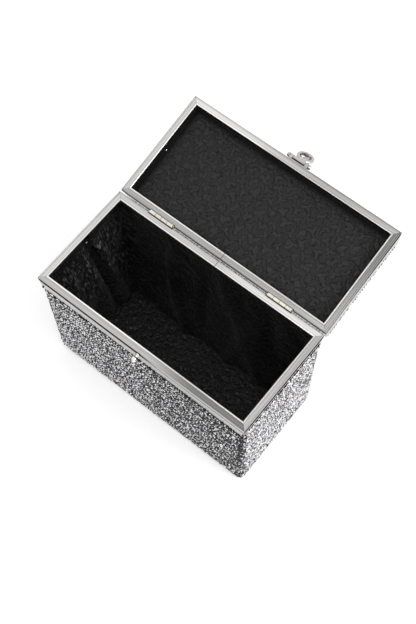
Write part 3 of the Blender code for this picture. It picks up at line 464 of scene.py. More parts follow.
def frame_metal(half):
    """Brushed strip: a streaked rim face, skirt and outer edge with painted reflection levels, a painted
    highlight on its inner edge, a painted dark reflection on its outer rounded edge, painted shade in the
    channel on its band and in its rear gap, and mitre lines.
    """
    tree = material_tree(half.name + "_brushed_frame")
    place = tree.place(half.matrix)
    x, y, z = tree.axes(place)
    from_end = tree.minus(FRAME_WIDTH / 2, tree.distance(x))
    from_side = tree.minus(FRAME_DEPTH / 2, tree.distance(y))
    mitre = tree.minus(from_end, from_side)
    inset = tree.math("MINIMUM", from_end, from_side)
    depth = tree.times(tree.minus(z, half.rim_z), half.sign)
    on_long, at_rear, at_right = (tree.math("GREATER_THAN", value, 0.0) for value in (mitre, y, x))

    streaks = []
    for along, across in STREAK_SCALES:
        long_streaks = tree.noise(tree.vector("MULTIPLY", place, (along, across, across)), 1.0, 2.0, 0.6)
        end_streaks = tree.noise(tree.vector("MULTIPLY", place, (across, along, across)), 1.0, 2.0, 0.6)
        streaks.append(tree.blend(on_long, end_streaks, long_streaks))
    fine, coarse = streaks
    streak = tree.blend(STREAK_BLEND, fine, coarse)
    side_tones_and_light = FRAME_TONES_AND_PAINTED_LIGHT[half.name]

    def by_side(name):
        """A look that changes along each side and from side to side."""
        parts = []
        for values, along, span in zip(side_tones_and_light[name], (y, x, y, x), (END_SPAN, LONG_SPAN) * 2):
            if isinstance(values, tuple):
                values = tree.ramp(along, *(values[2:] or span), *values[:2])
            parts.append(values)
        right, rear, left, front = parts
        return tree.blend(on_long, tree.blend(at_right, left, right), tree.blend(at_rear, front, rear))

    # Painted reflections: the rim face, skirt and crest take levels that change along and between the sides,
    # and the lip gets a painted highlight.
    skirt = tree.ramp(depth, *SKIRT_PAINT)
    on_top = tree.ramp(depth, *TOP_PAINT, 1, 0)
    on_crest = tree.ramp(inset, *CREST_PAINT, 1, 0)
    lip_highlight = tree.times(on_top, tree.ramp(inset, LIP_START, LIP_START + LIP_FADE))
    level = tree.times(tree.blend(skirt, by_side("rim"), by_side("skirt")),
                       tree.ramp(streak, 0.32, 0.68, 0.80, 1.20),
                       tree.blend(on_crest, 1.0, by_side("crest_reflection")))
    level = tree.blend(lip_highlight, level, by_side("lip_highlight"))

    # Painted dark reflection on the rounded edge, in a band of depths on each side.
    line = tree.times(tree.band(depth, by_side("dark_reflection_start"), by_side("dark_reflection_end"), DARK_REFLECTION_FADE),
                      by_side("line"), tree.ramp(inset, *EDGE_PAINT, 1, 0))
    # Painted shade in the groove.
    groove_shade = tree.times(tree.band(depth, *GROOVE_SHADE_PAINT, GROOVE_SHADE_FADE), by_side("groove_shade"))
    # Painted shade in the rear gap between lid and body.
    rear_gap_shade = tree.times(on_long, at_rear, tree.ramp(inset, *REAR_GAP_SHADE_PAINT, 1, 0), REAR_GAP_SHADE_SHARE)
    thread = tree.band(inset, LIP_START - THREAD_WIDTH, LIP_START, THREAD_FADE)
    thread = tree.times(on_top, thread, THREAD_SHARE)
    butt = tree.times(tree.ramp(tree.distance(x), *BUTT_PAINT, 1, 0), at_rear)
    joint = tree.most(tree.ramp(tree.distance(mitre), *MITRE_PAINT, 1, 0), butt)
    dark = tree.most(line, groove_shade, rear_gap_shade, thread, tree.times(joint, JOINT_SHARE))

    metal = tree.mix(level, (0, 0, 0, 1), METAL_TONE)
    rough = tree.math("ADD", tree.times(fine, 0.16), tree.blend(skirt, 0.20, 0.14))
    return tree.finish(Base_Color=tree.mix(dark, metal, grey(DARK_LEVEL, 0.1)),
                       Metallic=tree.minus(1.0, dark), Roughness=rough, Specular_IOR_Level=0.0,
                       Normal=tree.bump(tree.minus(streak, joint), 0.00003, 0.35))


def polished_metal(name, tone, low, high, reach=0.0022, shaded_side=None):
    """Plated metal with faint smudges and fine wear, with painted shade in its corners and, where a side is
    given, painted shade on the side that faces that way.
    """
    tree = material_tree(name)
    place = tree.place()
    smudges = tree.noise(place, 160.0, 3.0)
    wear = tree.noise(place, 2600.0, 2.0)
    # Painted shade in corners and crevices, from ambient occlusion over the given reach.
    corners = tree.node("AmbientOcclusion", {"Distance": reach}, samples=8).outputs["AO"]
    dull = [0.8 * part for part in tone]
    shade = tree.mix(tree.ramp(smudges, 0.3, 0.8), (*tone, 1), (*dull, 1))
    shade = tree.mix(tree.ramp(corners, 0.45, 0.95), grey(0.02, 0.05), shade)
    # Painted shade on the side that faces the given way.
    if shaded_side is not None:
        normal = tree.node("NewGeometry").outputs["Normal"]
        turned = tree.vector("DOT_PRODUCT", normal, shaded_side, output="Value")
        shade = tree.mix(tree.ramp(turned, 0.42, 0.70), shade, grey(0.01, 0.05))
    return tree.finish(Base_Color=shade, Metallic=1.0, Roughness=tree.ramp(wear, 0.3, 0.75, low, high),
                       Normal=tree.bump(wear, 0.00001, 0.25))


def stone_materials():
    """Foiled glass facets that take their tone from the mesh, and the cups that hold them, dark as painted
    shade between the stones.
    """
    tree = material_tree("stone_facets")
    tone = tree.node("VertexColor", layer_name="tone").outputs["Color"]
    haze = tree.noise(tree.place(), 900.0)
    colour = tree.mix(tree.ramp(haze, 0.35, 0.8, 0.0, 0.06), tone, grey(0.30))
    facets = tree.finish(Base_Color=colour, Metallic=0.6, Roughness=tree.ramp(haze, 0.3, 0.7, 0.06, 0.16),
                         Specular_IOR_Level=0.3)
    tree = material_tree("stone_cups")
    # Painted shade: the cups are dark, mottled by noise.
    cup_mottle = tree.noise(tree.place(), 1400.0)
    cups = tree.finish(Base_Color=tree.mix(cup_mottle, grey(0.004), grey(0.020)), Metallic=0.0,
                       Roughness=tree.ramp(cup_mottle, 0.3, 0.7, 0.45, 0.7), Specular_IOR_Level=0.05)
    return facets, cups


def backing_cloth():
    """Dark fine net that the stones are set on."""
    tree = material_tree("stone_backing")
    net = tree.ramp(tree.cell_edges(tree.place(), 2400.0), 0.02, 0.2, 1, 0)
    return tree.finish(Base_Color=tree.mix(net, grey(0.006), grey(0.03)), Roughness=0.8,
                       Specular_IOR_Level=0.2, Normal=tree.bump(net, 0.00005))


def leaf(tree, cell, turn):
    """How far outside a pointed leaf, turned about the middle of its cell, a point lies; 0 is its edge."""
    radius = (LEAF_LENGTH ** 2 + LEAF_WIDTH ** 2) / (2 * LEAF_WIDTH)
    local = tree.mapped(cell, Location=(0, -SPRIG_REACH, 0), Rotation=(0, 0, -turn))
    sides = [tree.vector("DISTANCE", local, (side * (radius - LEAF_WIDTH), 0, 0), output="Value")
             for side in (-1, 1)]
    return tree.minus(tree.most(*sides), radius)


def sprigs(tree, cloth):
    """A half-drop repeat of leaf sprigs on cloth coordinates in metres: their fill and their outlines."""
    wobble = tree.vector("SUBTRACT", tree.noise(cloth, 170.0, 3.0, output="Color"), (0.5, 0.5, 0.5))
    moved = tree.vector("MULTIPLY_ADD", wobble, (SPRIG_WOBBLE, SPRIG_WOBBLE, 0), cloth)
    across, along = SPRIG_REPEAT
    leaves = []
    for drop in (0.0, 0.5):
        shifted = tree.vector("MULTIPLY_ADD", moved, (1 / across, 1 / along, 0), (drop, drop, 0))
        cell = tree.vector("SUBTRACT", tree.vector("FRACTION", shifted), (0.5, 0.5, 0))
        for turn in SPRIG_TURNS:
            leaves.append(leaf(tree, cell, math.radians(turn + SPRIG_DROP_TURN * drop)))
    nearest = tree.math("MINIMUM", *leaves)
    fill = tree.ramp(nearest, -0.03, 0.0, 1, 0)
    return fill, tree.ramp(tree.distance(nearest, 0.012), 0.008, 0.030, 1, 0)


def jacquard(name, ground, figure, matrix=None, uv=False, rumple=0.0, gloss=(0.60, 0.40), level=0.2,
             shade=None):
    """Tone-on-tone figured lining: satin leaves with sunken outlines on a duller twill ground."""
    tree = material_tree(name)
    cloth = tree.node("UVMap", uv_map="cloth").outputs[0] if uv else tree.place(matrix)
    fill, outline = sprigs(tree, cloth)
    across, along, _ = tree.axes(cloth)
    twill = tree.math("SINE", tree.times(tree.math("ADD", across, along), 9000.0), 0.0)
    satin = tree.math("SINE", tree.times(across, 12000.0), 0.0)
    patch = tree.noise(cloth, 75.0, 3.0)
    colour = tree.mix(fill, tree.mix(patch, grey(0.7 * ground), grey(1.3 * ground)), grey(figure))
    colour = tree.mix(tree.times(outline, 0.8), colour, grey(0.15 * ground))
    # Painted shade: a given shade scales the colour and the gloss by place.
    if shade is not None:
        painted_shade = shade(tree)
        colour = tree.node("VectorMath", {0: colour, "Scale": painted_shade}, operation="SCALE").outputs[0]
        level = tree.times(painted_shade, level)
    raised = tree.bump(tree.blend(fill, twill, satin), 0.00003, 0.35)
    raised = tree.bump(tree.minus(tree.times(fill, 0.6), outline), 0.00035, 0.8, Normal=raised)
    if rumple:
        raised = tree.bump(tree.noise(cloth, 210.0, 3.0, 0.6), rumple, Normal=raised)
    return tree.finish(Base_Color=colour, Roughness=tree.ramp(fill, 0, 1, *gloss), Specular_IOR_Level=level,
                       Sheen_Weight=0.05, Sheen_Roughness=0.4, Normal=raised)


def tray_shade(tree):
    """Painted shade on the tray's cloth: darker on its floor and deep on the rear wall, with painted satin
    highlights in stroke-shaped marks and painted shade along a crease on the left one, and a painted shadow
    along a fold of the floor.
    """
    place = tree.place()
    x, y, z = tree.axes(place)
    drop = tree.minus(BODY_HEIGHT, z)
    leaning = tree.mapped(place, Rotation=STROKE_TURN, Scale=STROKE_SCALE)
    # Painted satin highlights in leaning strokes on the left wall, faint near its rim.
    stroke_highlights = tree.times(tree.ramp(tree.noise(leaning, 1.0, 3.0, 0.6), 0.50, 0.68),
                         tree.ramp(drop, *STROKE_PAINT, 0.1, 1.0), STROKE_GAIN)
    # Painted shade along the crease with painted highlights on its flanks, and painted shade low on the left
    # wall.
    crease = tree.distance(y, tree.times(drop, CREASE_LEAN))
    satin = tree.times(tree.math("ADD", LEFT_SHADE, stroke_highlights),
                       tree.ramp(crease, *CREASE_PAINT, 0.05, 1.5),
                       tree.ramp(crease, *FLANK_PAINT, 1.0, 0.7),
                       tree.ramp(drop, *STROKE_FOOT_PAINT, 1.0, 0.25))
    # Painted shadow along a pleat on the floor.
    low = tree.ramp(z, *FLOOR_PAINT, 1.0, 0.0)
    pleat_shadow = tree.times(low, tree.ramp(tree.distance(y, PLEAT_PLACE), *PLEAT_PAINT, 0.6, 0.0))
    on_left = tree.ramp(x, *LEFT_PAINT, 1.0, 0.0)
    # Painted shade on the floor and the rear wall, and the left wall's painted shade and highlights.
    return tree.times(tree.ramp(z, *FLOOR_PAINT, FLOOR_SHADE, 1.0),
                      tree.ramp(y, *REAR_PAINT, 1.0, REAR_SHADE),
                      tree.blend(on_left, 1.0, satin), tree.minus(1.0, pleat_shadow))


def fibre_board():
    """Dark fibrous board of the shells."""
    tree = material_tree("shell_board")
    fibres = tree.noise(tree.vector("MULTIPLY", tree.place(), (900, 300, 900)), 1.0, 4.0, 0.7)
    return tree.finish(Base_Color=tree.mix(fibres, grey(0.05, 0.1), grey(0.12, 0.15)), Roughness=0.85,
                       Normal=tree.bump(fibres, 0.0001))


def base_leather():
    """Black grained leather cloth on the base."""
    tree = material_tree("base_leather")
    place = tree.place()
    pebbles = tree.ramp(tree.cell_edges(place, 900.0), 0.0, 0.25)
    return tree.finish(Base_Color=tree.mix(tree.noise(place, 90.0, 3.0), grey(0.010), grey(0.028)),
                       Roughness=tree.ramp(pebbles, 0, 1, 0.7, 0.45),
                       Normal=tree.bump(pebbles, 0.00012, 0.8))


# Mesh building

def link(name, data):
    item = bpy.data.objects.new(name, data)
    bpy.context.scene.collection.objects.link(item)
    return item


def new_object(name, points, faces, materials, matrix=None):
    mesh = bpy.data.meshes.new(name)
    mesh.from_pydata([tuple(point) for point in points], [], faces)
    if matrix is not None:
        mesh.transform(matrix)
    for material in materials:
        mesh.materials.append(material)
    mesh.shade_smooth()
    return link(name, mesh)


def stand_in(item, node, body):
    """Hide the CAD piece that a new piece stands for, and attach the new piece to what it moves with."""
    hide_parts(node)
    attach(item, body)


def recalc(item):
    work = bmesh.new()
    work.from_mesh(item.data)
    bmesh.ops.recalc_face_normals(work, faces=work.faces)
    work.to_mesh(item.data)
    work.free()


def unit(vectors):
    return vectors / np.linalg.norm(vectors, axis=1, keepdims=True)


def half_sizes(inset):
    """Half width and half depth of the case's outline, drawn in by an inset."""
    return FRAME_WIDTH / 2 - inset, FRAME_DEPTH / 2 - inset


def ring_faces(count, width, closed_ring=False, caps=False):
    """Faces between a number of point loops of equal length."""
    pairs = list(zip(range(count), range(1, count)))
    if closed_ring:
        pairs.append((count - 1, 0))
    faces = []
    for near, far in pairs:
        for place in range(width):
            after = (place + 1) % width
            faces.append((near * width + place, near * width + after,
                          far * width + after, far * width + place))
    if caps:
        faces.append(tuple(range(width))[::-1])
        faces.append(tuple(range((count - 1) * width, count * width)))
    return faces


def skin(loops, closed_ring=False, caps=False):
    """Points and faces of a surface over loops of equal length."""
    points = [point for loop in loops for point in loop]
    return points, ring_faces(len(loops), len(loops[0]), closed_ring, caps)


def rounded_loop(inset, corner, count=None, shift=0.0):
    """Evenly spaced places and outward directions round a rounded rectangle."""
    half_x, half_y = half_sizes(inset)
    arc = corner * math.pi / 2
    lengths = np.array([2 * (half_x - corner), arc, 2 * (half_y - corner), arc] * 2)
    total = lengths.sum()
    count = count or round(total / CLOTH_CELL)
    starts = np.concatenate(([0.0], np.cumsum(lengths)))
    runs = (np.arange(count) + shift) / count * total % total
    sections = np.minimum(np.searchsorted(starts, runs, side="right") - 1, len(lengths) - 1)
    quarters, bends = np.divmod(sections, 2)
    rest = runs - starts[sections]
    angles = (quarters - 1) * math.pi / 2 + bends * rest / corner
    outward = np.stack((np.cos(angles), np.sin(angles)), axis=1)
    ahead = np.stack((-outward[:, 1], outward[:, 0]), axis=1)
    back = (1 - bends) * (lengths[sections] - rest)
    centres = np.array(((1, -1), (1, 1), (-1, 1), (-1, -1)))[quarters] * (half_x - corner, half_y - corner)
    return centres + corner * outward - ahead * back[:, None], outward


def loop_points(half, inset, depth, corner, steps=5):
    """Rounded rectangle of fixed point count at one depth."""
    half_x, half_y = half_sizes(inset)
    points = []
    for quarter, (side_x, side_y) in enumerate(((1, 1), (-1, 1), (-1, -1), (1, -1))):
        for step in range(steps + 1):
            angle = (quarter + step / steps) * math.pi / 2
            points.append((side_x * (half_x - corner) + corner * math.cos(angle),
                           side_y * (half_y - corner) + corner * math.sin(angle), half.z(depth)))
    return points


# Stones

def far_edge(half, rise, angle):
    """Inset and depth at an angle round the far edge, on a surface a rise under the cover's face."""
    radius = half.edge_radius - rise
    turn_depth = half.reach - half.edge_radius
    inset = COVER_INSET + rise + half.lean(turn_depth) + radius * (1 - np.cos(angle))
    return inset, turn_depth + radius * np.sin(angle)


def wall_rows(half, start, stop_inset):
    """Insets, depths and lifts of stone rows from a depth down the wall, round the far edge and under it."""
    radius = half.edge_radius - STONE_RISE
    straight = half.reach - half.edge_radius - start
    bend = radius * math.pi / 2
    flat = stop_inset - far_edge(half, STONE_RISE, math.pi / 2)[0]
    step = STONE_PITCH * ROW_SHARE
    runs = step * np.arange(int((straight + bend + max(flat, 0)) / step) + 1)
    lifts = np.clip((runs - straight) / radius, 0, math.pi / 2)
    insets, depths = far_edge(half, STONE_RISE, lifts)
    on_wall = runs <= straight
    depths = np.where(on_wall, start + runs, depths)
    insets = np.where(on_wall, COVER_INSET + STONE_RISE + half.lean(depths),
                      insets + np.clip(runs - straight - bend, 0, None))
    return np.stack((np.where(depths > BAND_HEIGHT, insets, FOOT_INSET), depths, lifts), axis=1)


def cluster_height(along, across, length, width):
    """Height over the valleys, from 0 to 1, on a grid of low pyramids centred on a face."""
    shares = []
    for value, size in ((along, length), (across, width)):
        pitch = size / max(round(size / CLUSTER_PITCH), 1)
        place = np.abs(2 * (((value + size / 2) / pitch) % 1) - 1)
        shares.append(np.where(np.abs(value) < size / 2, 1 - place, 0))
    return np.minimum(*shares)


def row_stones(half, rows):
    """Places, normals, radii, seats and tops of stones in rows round the case; the first sit on the band."""
    count = round(4 * sum(half_sizes(COVER_INSET)) / STONE_PITCH)
    loops = [rounded_loop(inset, CORNER_RADIUS - STONE_RISE, count, 0.5 * (number % 2))
             for number, inset in enumerate(rows[:, 0])]
    places, outward = (np.concatenate(parts) for parts in zip(*loops))
    insets, depths, lifts = np.repeat(rows, count, axis=0).T
    points = np.column_stack((places, half.z(depths)))
    normals = np.column_stack((outward * np.cos(lifts)[:, None], half.sign * np.sin(lifts)))
    radii = STONE_FILL * np.minimum(4 * sum(half_sizes(insets)) / count, STONE_PITCH)
    kept = (depths > BAND_SHOWN + STONE_PITCH / 2) | (np.abs(normals[:, 0]) > FACING_END)
    points, normals, radii = points[kept], normals[kept], radii[kept]
    depths, lifts = depths[kept], lifts[kept]
    straight = (half.reach - half.edge_radius) - BAND_HEIGHT
    down = points[:, 2] - half.z(BAND_HEIGHT + straight / 2)
    heights = np.where(np.abs(normals[:, 0]) > np.abs(normals[:, 1]),
                       cluster_height(points[:, 1], down, FRAME_DEPTH - FACE_TRIM, straight),
                       cluster_height(points[:, 0], down, FRAME_WIDTH - FACE_TRIM, straight))
    number = len(points)
    stands = half.stand * rng.uniform(*STAND_SHARES, number) * np.cos(lifts) ** 2
    tops = STONE_RISE * rng.uniform(*TOP_SHARES, number) + CLUSTER_SHOWN * (heights - 1) + stands
    on_band = depths <= BAND_HEIGHT
    tops = np.where(on_band, rng.uniform(*FOOT_STANDS, number), tops)
    seats = np.where(on_band, STONE_SINK, STONE_SINK + CLUSTER_RELIEF)
    return points, normals, radii, seats, tops


def top_stones(half, edge):
    """Stones in staggered rows over the lid's low crown."""
    half_x, half_y = half_sizes(edge)
    step = STONE_PITCH * ROW_SHARE
    lines = int(2 * half_y / step)
    columns = int((2 * half_x - STONE_PITCH / 2) / STONE_PITCH)
    line, column = np.mgrid[:lines + 1, :columns + 1].reshape(2, -1)
    x = (column - columns / 2 + np.where(line % 2, 0.25, -0.25)) * STONE_PITCH
    y = (line - lines / 2) * step
    crown = LID_CROWN * np.cos(math.pi * x / (2 * half_x)) * np.cos(math.pi * y / (2 * half_y))
    points = np.column_stack((x, y, half.z(half.reach - STONE_RISE + np.clip(crown, 0, None))))
    number = len(points)
    heights = cluster_height(x, y, FRAME_WIDTH - FACE_TRIM, FRAME_DEPTH - FACE_TRIM)
    tops = STONE_RISE * rng.uniform(*TOP_SHARES, number) + CLUSTER_SHOWN * (heights - 1)
    normals = np.tile((0.0, 0.0, float(half.sign)), (number, 1))
    radii = np.full(number, STONE_FILL * STONE_PITCH)
    seats = np.full(number, STONE_SINK + CLUSTER_RELIEF)
    return points, normals, radii, seats, tops


def glints(body, centres, normals):
    """How far each facet lies in a dark glint, from 0 to 1, and the glints' tone, from facet centres."""
    facing = np.abs(normals).argmax(axis=1)
    numbers = np.arange(len(normals))
    along = centres[numbers, :, np.where(facing == 0, 1, 0)]
    down = centres[numbers, :, np.where(facing == 2, 1, 2)]
    line = np.floor(down / GLINT_PITCH[1])
    column = np.floor(along / GLINT_PITCH[0] + 0.5 * (line % 2))
    line_at = (line - line.min()).astype(int)
    column_at = (column - column.min()).astype(int)
    shape = (line_at.max() + 1, column_at.max() + 1)
    wander = rng.uniform(-GLINT_WANDER, GLINT_WANDER, (2, *shape))
    draw = rng.uniform(0, 1, shape)
    size = rng.uniform(*GLINT_SIZES, shape)
    middle_along = (column + 0.5 - 0.5 * (line % 2) + wander[0][line_at, column_at]) * GLINT_PITCH[0]
    middle_down = (line + 0.5 + wander[1][line_at, column_at]) * GLINT_PITCH[1]
    on_right = (normals[:, 0] > FACING_RIGHT)[:, None]
    grown = np.where(facing == 1, 1 + GLINT_GROWTH * centres[:, 0, 0] / (FRAME_WIDTH / 2), 1.0)[:, None]
    reach = size[line_at, column_at] * grown
    far = np.hypot((along - middle_along) / GLINT_REACH[0], (down - middle_down) / GLINT_REACH[1]) / reach
    low, high = GLINT_SPREAD
    inside = 1 - np.clip((far - low) / (high - low), 0, 1)
    # On right-facing sides the dark glints are fewer and lighter, as painted light.
    share = np.where(on_right, RIGHT_GLINT_SHARE[body], GLINT_SHARE)
    inside = np.where(draw[line_at, column_at] < share, inside, 0)
    return inside, np.where(on_right, RIGHT_GLINT_TONE, GLINT_TONE)


def facet_tones(body, centres, normals):
    """Grey levels of the crown facets and tables of stones, and each stone's tint."""
    count = len(centres)
    own = rng.choice(STONE_TONES, size=(count, 1), p=STONE_SHARES)
    tones = own * rng.choice(FACET_TONES, size=(count, STONE_SIDES + 1))
    inside, dark = glints(body, centres, normals)
    # Stones on right-facing sides are lighter, as painted light.
    tones *= np.where(normals[:, :1] > FACING_RIGHT, RIGHT_LIGHT_GAIN[body], 1.0)
    tint = np.array(STONE_TINTS)[rng.choice(len(STONE_TINTS), size=count, p=TINT_SHARES)]
    return tones * (1 - inside) + dark * inside, tint


def stone_rings(points, normals, radii, seats, tops):
    """Rings of corners of stones on jittered and tilted seats, and the middles of their tables."""
    count = len(points)
    up = np.where(np.abs(normals[:, 2:]) > FACING_UP, (1.0, 0.0, 0.0), (0.0, 0.0, 1.0))
    across = unit(np.cross(up, normals))
    ahead = np.cross(normals, across)
    drift = rng.normal(0, STONE_JITTER * STONE_PITCH / 2, (count, 2))
    drift = drift.clip(-STONE_DRIFT_LIMIT, STONE_DRIFT_LIMIT)
    base = points + across * drift[:, :1] + ahead * drift[:, 1:] - normals * seats[:, None]
    tilt = rng.normal(0, STONE_TILT, (count, 2)).clip(-2 * STONE_TILT, 2 * STONE_TILT)
    axis = unit(normals + across * tilt[:, :1] + ahead * tilt[:, 1:])
    across = unit(across - axis * np.sum(across * axis, axis=1, keepdims=True))
    ahead = np.cross(axis, across)
    spin = rng.uniform(0, 2 * math.pi, count)
    size = radii * rng.uniform(*STONE_SIZES, count)
    rise = seats + tops
    turns = (spin[:, None] + 2 * math.pi * np.arange(STONE_SIDES) / STONE_SIDES)[:, :, None]
    around = np.cos(turns) * across[:, None] + np.sin(turns) * ahead[:, None]
    rings = []
    for drop, spread in STONE_RINGS:
        height = 0 * rise if drop is None else rise - drop * np.minimum(STONE_RISE, rise)
        rings.append((base + axis * height[:, None])[:, None] + (size * spread)[:, None, None] * around)
    return np.stack(rings, axis=1), base + axis * rise[:, None]


def by_face(cups, crowns):
    """A value for each face of each stone: sides of the cup, facets of the crown, back and table."""
    return np.concatenate((np.tile(cups, STONE_SIDES), crowns[:, :-1], cups, crowns[:, -1:]), axis=1)


def make_stones(name, half, stones, materials):
    """One mesh of separate faceted stones, each a closed solid, with its tones in the faces' corners."""
    rings, tables = stone_rings(*stones)
    normals = stones[1]
    count = len(rings)
    shape = ring_faces(len(STONE_RINGS), STONE_SIDES, caps=True)
    per_stone = len(STONE_RINGS) * STONE_SIDES
    faces = [tuple(first + corner for corner in face)
             for first in range(0, count * per_stone, per_stone) for face in shape]
    item = new_object(name, rings.reshape(-1, 3), faces, materials, half.matrix)
    girdle, crown = rings[:, 1], rings[:, 2]
    centres = (girdle + np.roll(girdle, -1, axis=1) + np.roll(crown, -1, axis=1) + crown) / 4
    tones, tint = facet_tones(half.name, np.concatenate((centres, tables[:, None]), axis=1), normals)
    # The cups are dark as painted shade; on the lid's right-facing side they are light as painted light and
    # take the facets' material.
    cup = np.where(normals[:, :1] > FACING_RIGHT, RIGHT_CUP_TONE[half.name], CUP_SHADE_TONE)
    kinds = by_face(np.where(cup > CUP_SHADE_TONE, 0, 1), np.zeros_like(tones))
    item.data.polygons.foreach_set("material_index", kinds.ravel().astype(np.int32))
    colours = by_face(cup, tones)[:, :, None] * tint[:, None, :]
    colours = np.concatenate((colours, np.ones((count, len(shape), 1))), axis=2).clip(0, 1)
    sizes = np.tile([len(face) for face in shape], count)
    per_corner = np.repeat(colours.reshape(-1, 4), sizes, axis=0)
    layer = item.data.color_attributes.new("tone", "FLOAT_COLOR", "CORNER")
    layer.data.foreach_set("color", per_corner.ravel().astype(np.float32))
    stand_in(item, half.name + "_cover", half.name)


def make_backing(half, material):
    """The dark net under the stones, tucked behind the band; the lid's goes over its top too."""
    capped = half is LID
    sheets = []
    for rise in (BACKING_INSET, BACKING_INSET + BACKING_THICKNESS):
        side = COVER_INSET + rise
        surface = [(side, BAND_HEIGHT - BACKING_TUCK, 0), (side, BAND_HEIGHT + BACKING_START, 0),
                   (side, BAND_HEIGHT + BACKING_FULL, 1)]
        for angle in np.linspace(0, math.pi / 2, BACKING_BEND_STEPS + 1):
            surface.append((*far_edge(half, rise, angle), math.cos(angle) ** 2))
        if not capped:
            lean = half.lean(half.reach - half.edge_radius)
            surface.append((COVER_INSET + lean + BASE_MARGIN, half.reach - rise, 0))
        loops = []
        for inset, depth, share in surface:
            raised = share * half.stand * BACKING_SHARE
            loops.append(loop_points(half, inset - raised, depth, CORNER_RADIUS - rise + raised))
        if capped:
            edge = surface[-1][0]
            for share in LID_NET_SHARES:
                lift = LID_CROWN * math.sin(math.pi / 2 * share / LID_NET_SHARES[-1])
                loops.append(loop_points(half, edge + share * (FRAME_DEPTH / 2 - edge),
                                         half.reach - rise + lift, CORNER_RADIUS))
        sheets.append(loops)
    outer, inner = sheets
    if capped:
        points, faces = skin(outer[::-1] + inner, caps=True)
    else:
        points, faces = skin(outer + inner[::-1], closed_ring=True)
    item = new_object(half.name + "_stone_backing", points, faces, [material], half.matrix)
    recalc(item)
    stand_in(item, half.name + "_cover", half.name)


# Linings

def grid_border(columns, rows):
    """Columns and rows of the corners round the edge of a grid of cells."""
    border = [(column, 0) for column in range(columns)]
    border += [(columns, row) for row in range(rows)]
    border += [(column, rows) for column in range(columns, 0, -1)]
    return border + [(0, row) for row in range(rows, 0, -1)]


def tray_grid(half_x, half_y, top, bottom):
    """A cloth tray of even cells, its walls in rings and its floor in strips, and the rim's point count."""
    columns = 2 * round(half_x / CLOTH_CELL)
    rows = 2 * round(half_y / CLOTH_CELL)
    drops = round((top - bottom) / CLOTH_CELL)
    border = grid_border(columns, rows)

    def point(column, row, share):
        """The place of a corner of the grid at a share of the way down from the rim."""
        return ((2 * column / columns - 1) * (half_x - WALL_TAPER * share),
                (2 * row / rows - 1) * (half_y - WALL_TAPER * share), top + (bottom - top) * share)

    points, faces = skin([[point(*pair, drop / drops) for pair in border] for drop in range(drops + 1)])
    index = {pair: drops * len(border) + place for place, pair in enumerate(border)}
    for row in range(1, rows):
        for column in range(1, columns):
            index[column, row] = len(points)
            points.append(point(column, row, 1))
    for row in range(rows):
        for column in range(columns):
            faces.append((index[column, row], index[column, row + 1],
                          index[column + 1, row + 1], index[column + 1, row]))
    return points, faces, len(border)


def cloth_coordinates(item, top):
    """A map in metres: down the walls from the rim, and flat over the floor."""
    mesh = item.data
    layer = mesh.uv_layers.new(name="cloth")
    for polygon in mesh.polygons:
        normal = polygon.normal
        for corner in polygon.loop_indices:
            x, y, z = mesh.vertices[mesh.loops[corner].vertex_index].co
            if abs(normal.z) > CLOTH_LEVEL:
                layer.data[corner].uv = (x, y)
            elif abs(normal.x) > abs(normal.y):
                layer.data[corner].uv = (y + END_MAP_SHIFT, z - top)
            else:
                layer.data[corner].uv = (x, z - top)


def round_in(first, second, first_limit, second_limit, radius):
    """Draw in the points that lie in the square corner of two limits, on to a round one."""
    over_first = np.abs(first) - (first_limit - radius)
    over_second = np.abs(second) - (second_limit - radius)
    length = np.hypot(over_first, over_second)
    outside = (np.minimum(over_first, over_second) > 0) & (length > radius)
    share = np.where(outside, radius / np.maximum(length, TINY), 1.0)
    firsts = np.where(outside, np.sign(first) * (first_limit - radius + over_first * share), first)
    seconds = np.where(outside, np.sign(second) * (second_limit - radius + over_second * share), second)
    return firsts, seconds


def fold_lift(folds, across, run):
    """Lift of a set of soft folds that lean as they run on."""
    return sum(lift * np.exp(-((across - (centre + lean * run)) / width) ** 2)
               for centre, lean, width, lift in folds)


def slumped(tray, half_x, half_y, top, bottom):
    """The lining as it hangs: drawn in towards its floor, round in its corners, and folded."""
    shaped = tray.copy()
    x, y, z = tray.T
    height = top - bottom
    drop = top - z
    deep = np.clip(drop / height, 0, 1)
    ease = deep * deep * (3 - 2 * deep)
    on_end = np.abs(x) > half_x - WALL_TAPER - WALL_ZONE
    on_rear = (y > half_y - WALL_TAPER - WALL_ZONE) & ~on_end
    end_scale = 1 - SLUMP_END * ease / half_x
    side_scale = 1 - SLUMP_WALL * ease / half_y
    drawn = round_in(x * end_scale, y * side_scale, half_x * end_scale, half_y * side_scale,
                     RIM_ROUND + SLUMP_ROUND * ease)
    shaped[:, 0], shaped[:, 1] = drawn
    from_top = drop
    near_floor = drop > height - FLOOR_ROUND_ZONE
    for axis, limit in enumerate((half_x - SLUMP_END, half_y - SLUMP_WALL)):
        moved, low = round_in(shaped[:, axis], from_top, limit + FLOOR_ROUND_SLACK, height, FLOOR_ROUND)
        shaped[:, axis] = np.where(near_floor, moved, shaped[:, axis])
        shaped[:, 2] = np.where(near_floor, top - low, shaped[:, 2])
        from_top = top - shaped[:, 2]
    left = fold_lift(LEFT_FOLDS, y, drop) * np.clip(drop / LEFT_FADE, 0, 1)
    left *= np.clip((height - drop) / LEFT_FOOT_FADE, 0.25, 1)
    rear = fold_lift(REAR_FOLDS, x, drop) * np.clip(drop / REAR_FADE, 0, 1)
    shaped[:, 0] += np.where(on_end & (x < 0), left, 0)
    shaped[:, 1] -= np.where(on_rear, rear, 0)
    shaped[:, 2] += np.where(drop > height - FLOOR_ZONE, fold_lift(FLOOR_FOLDS, y, x), 0)
    return shaped


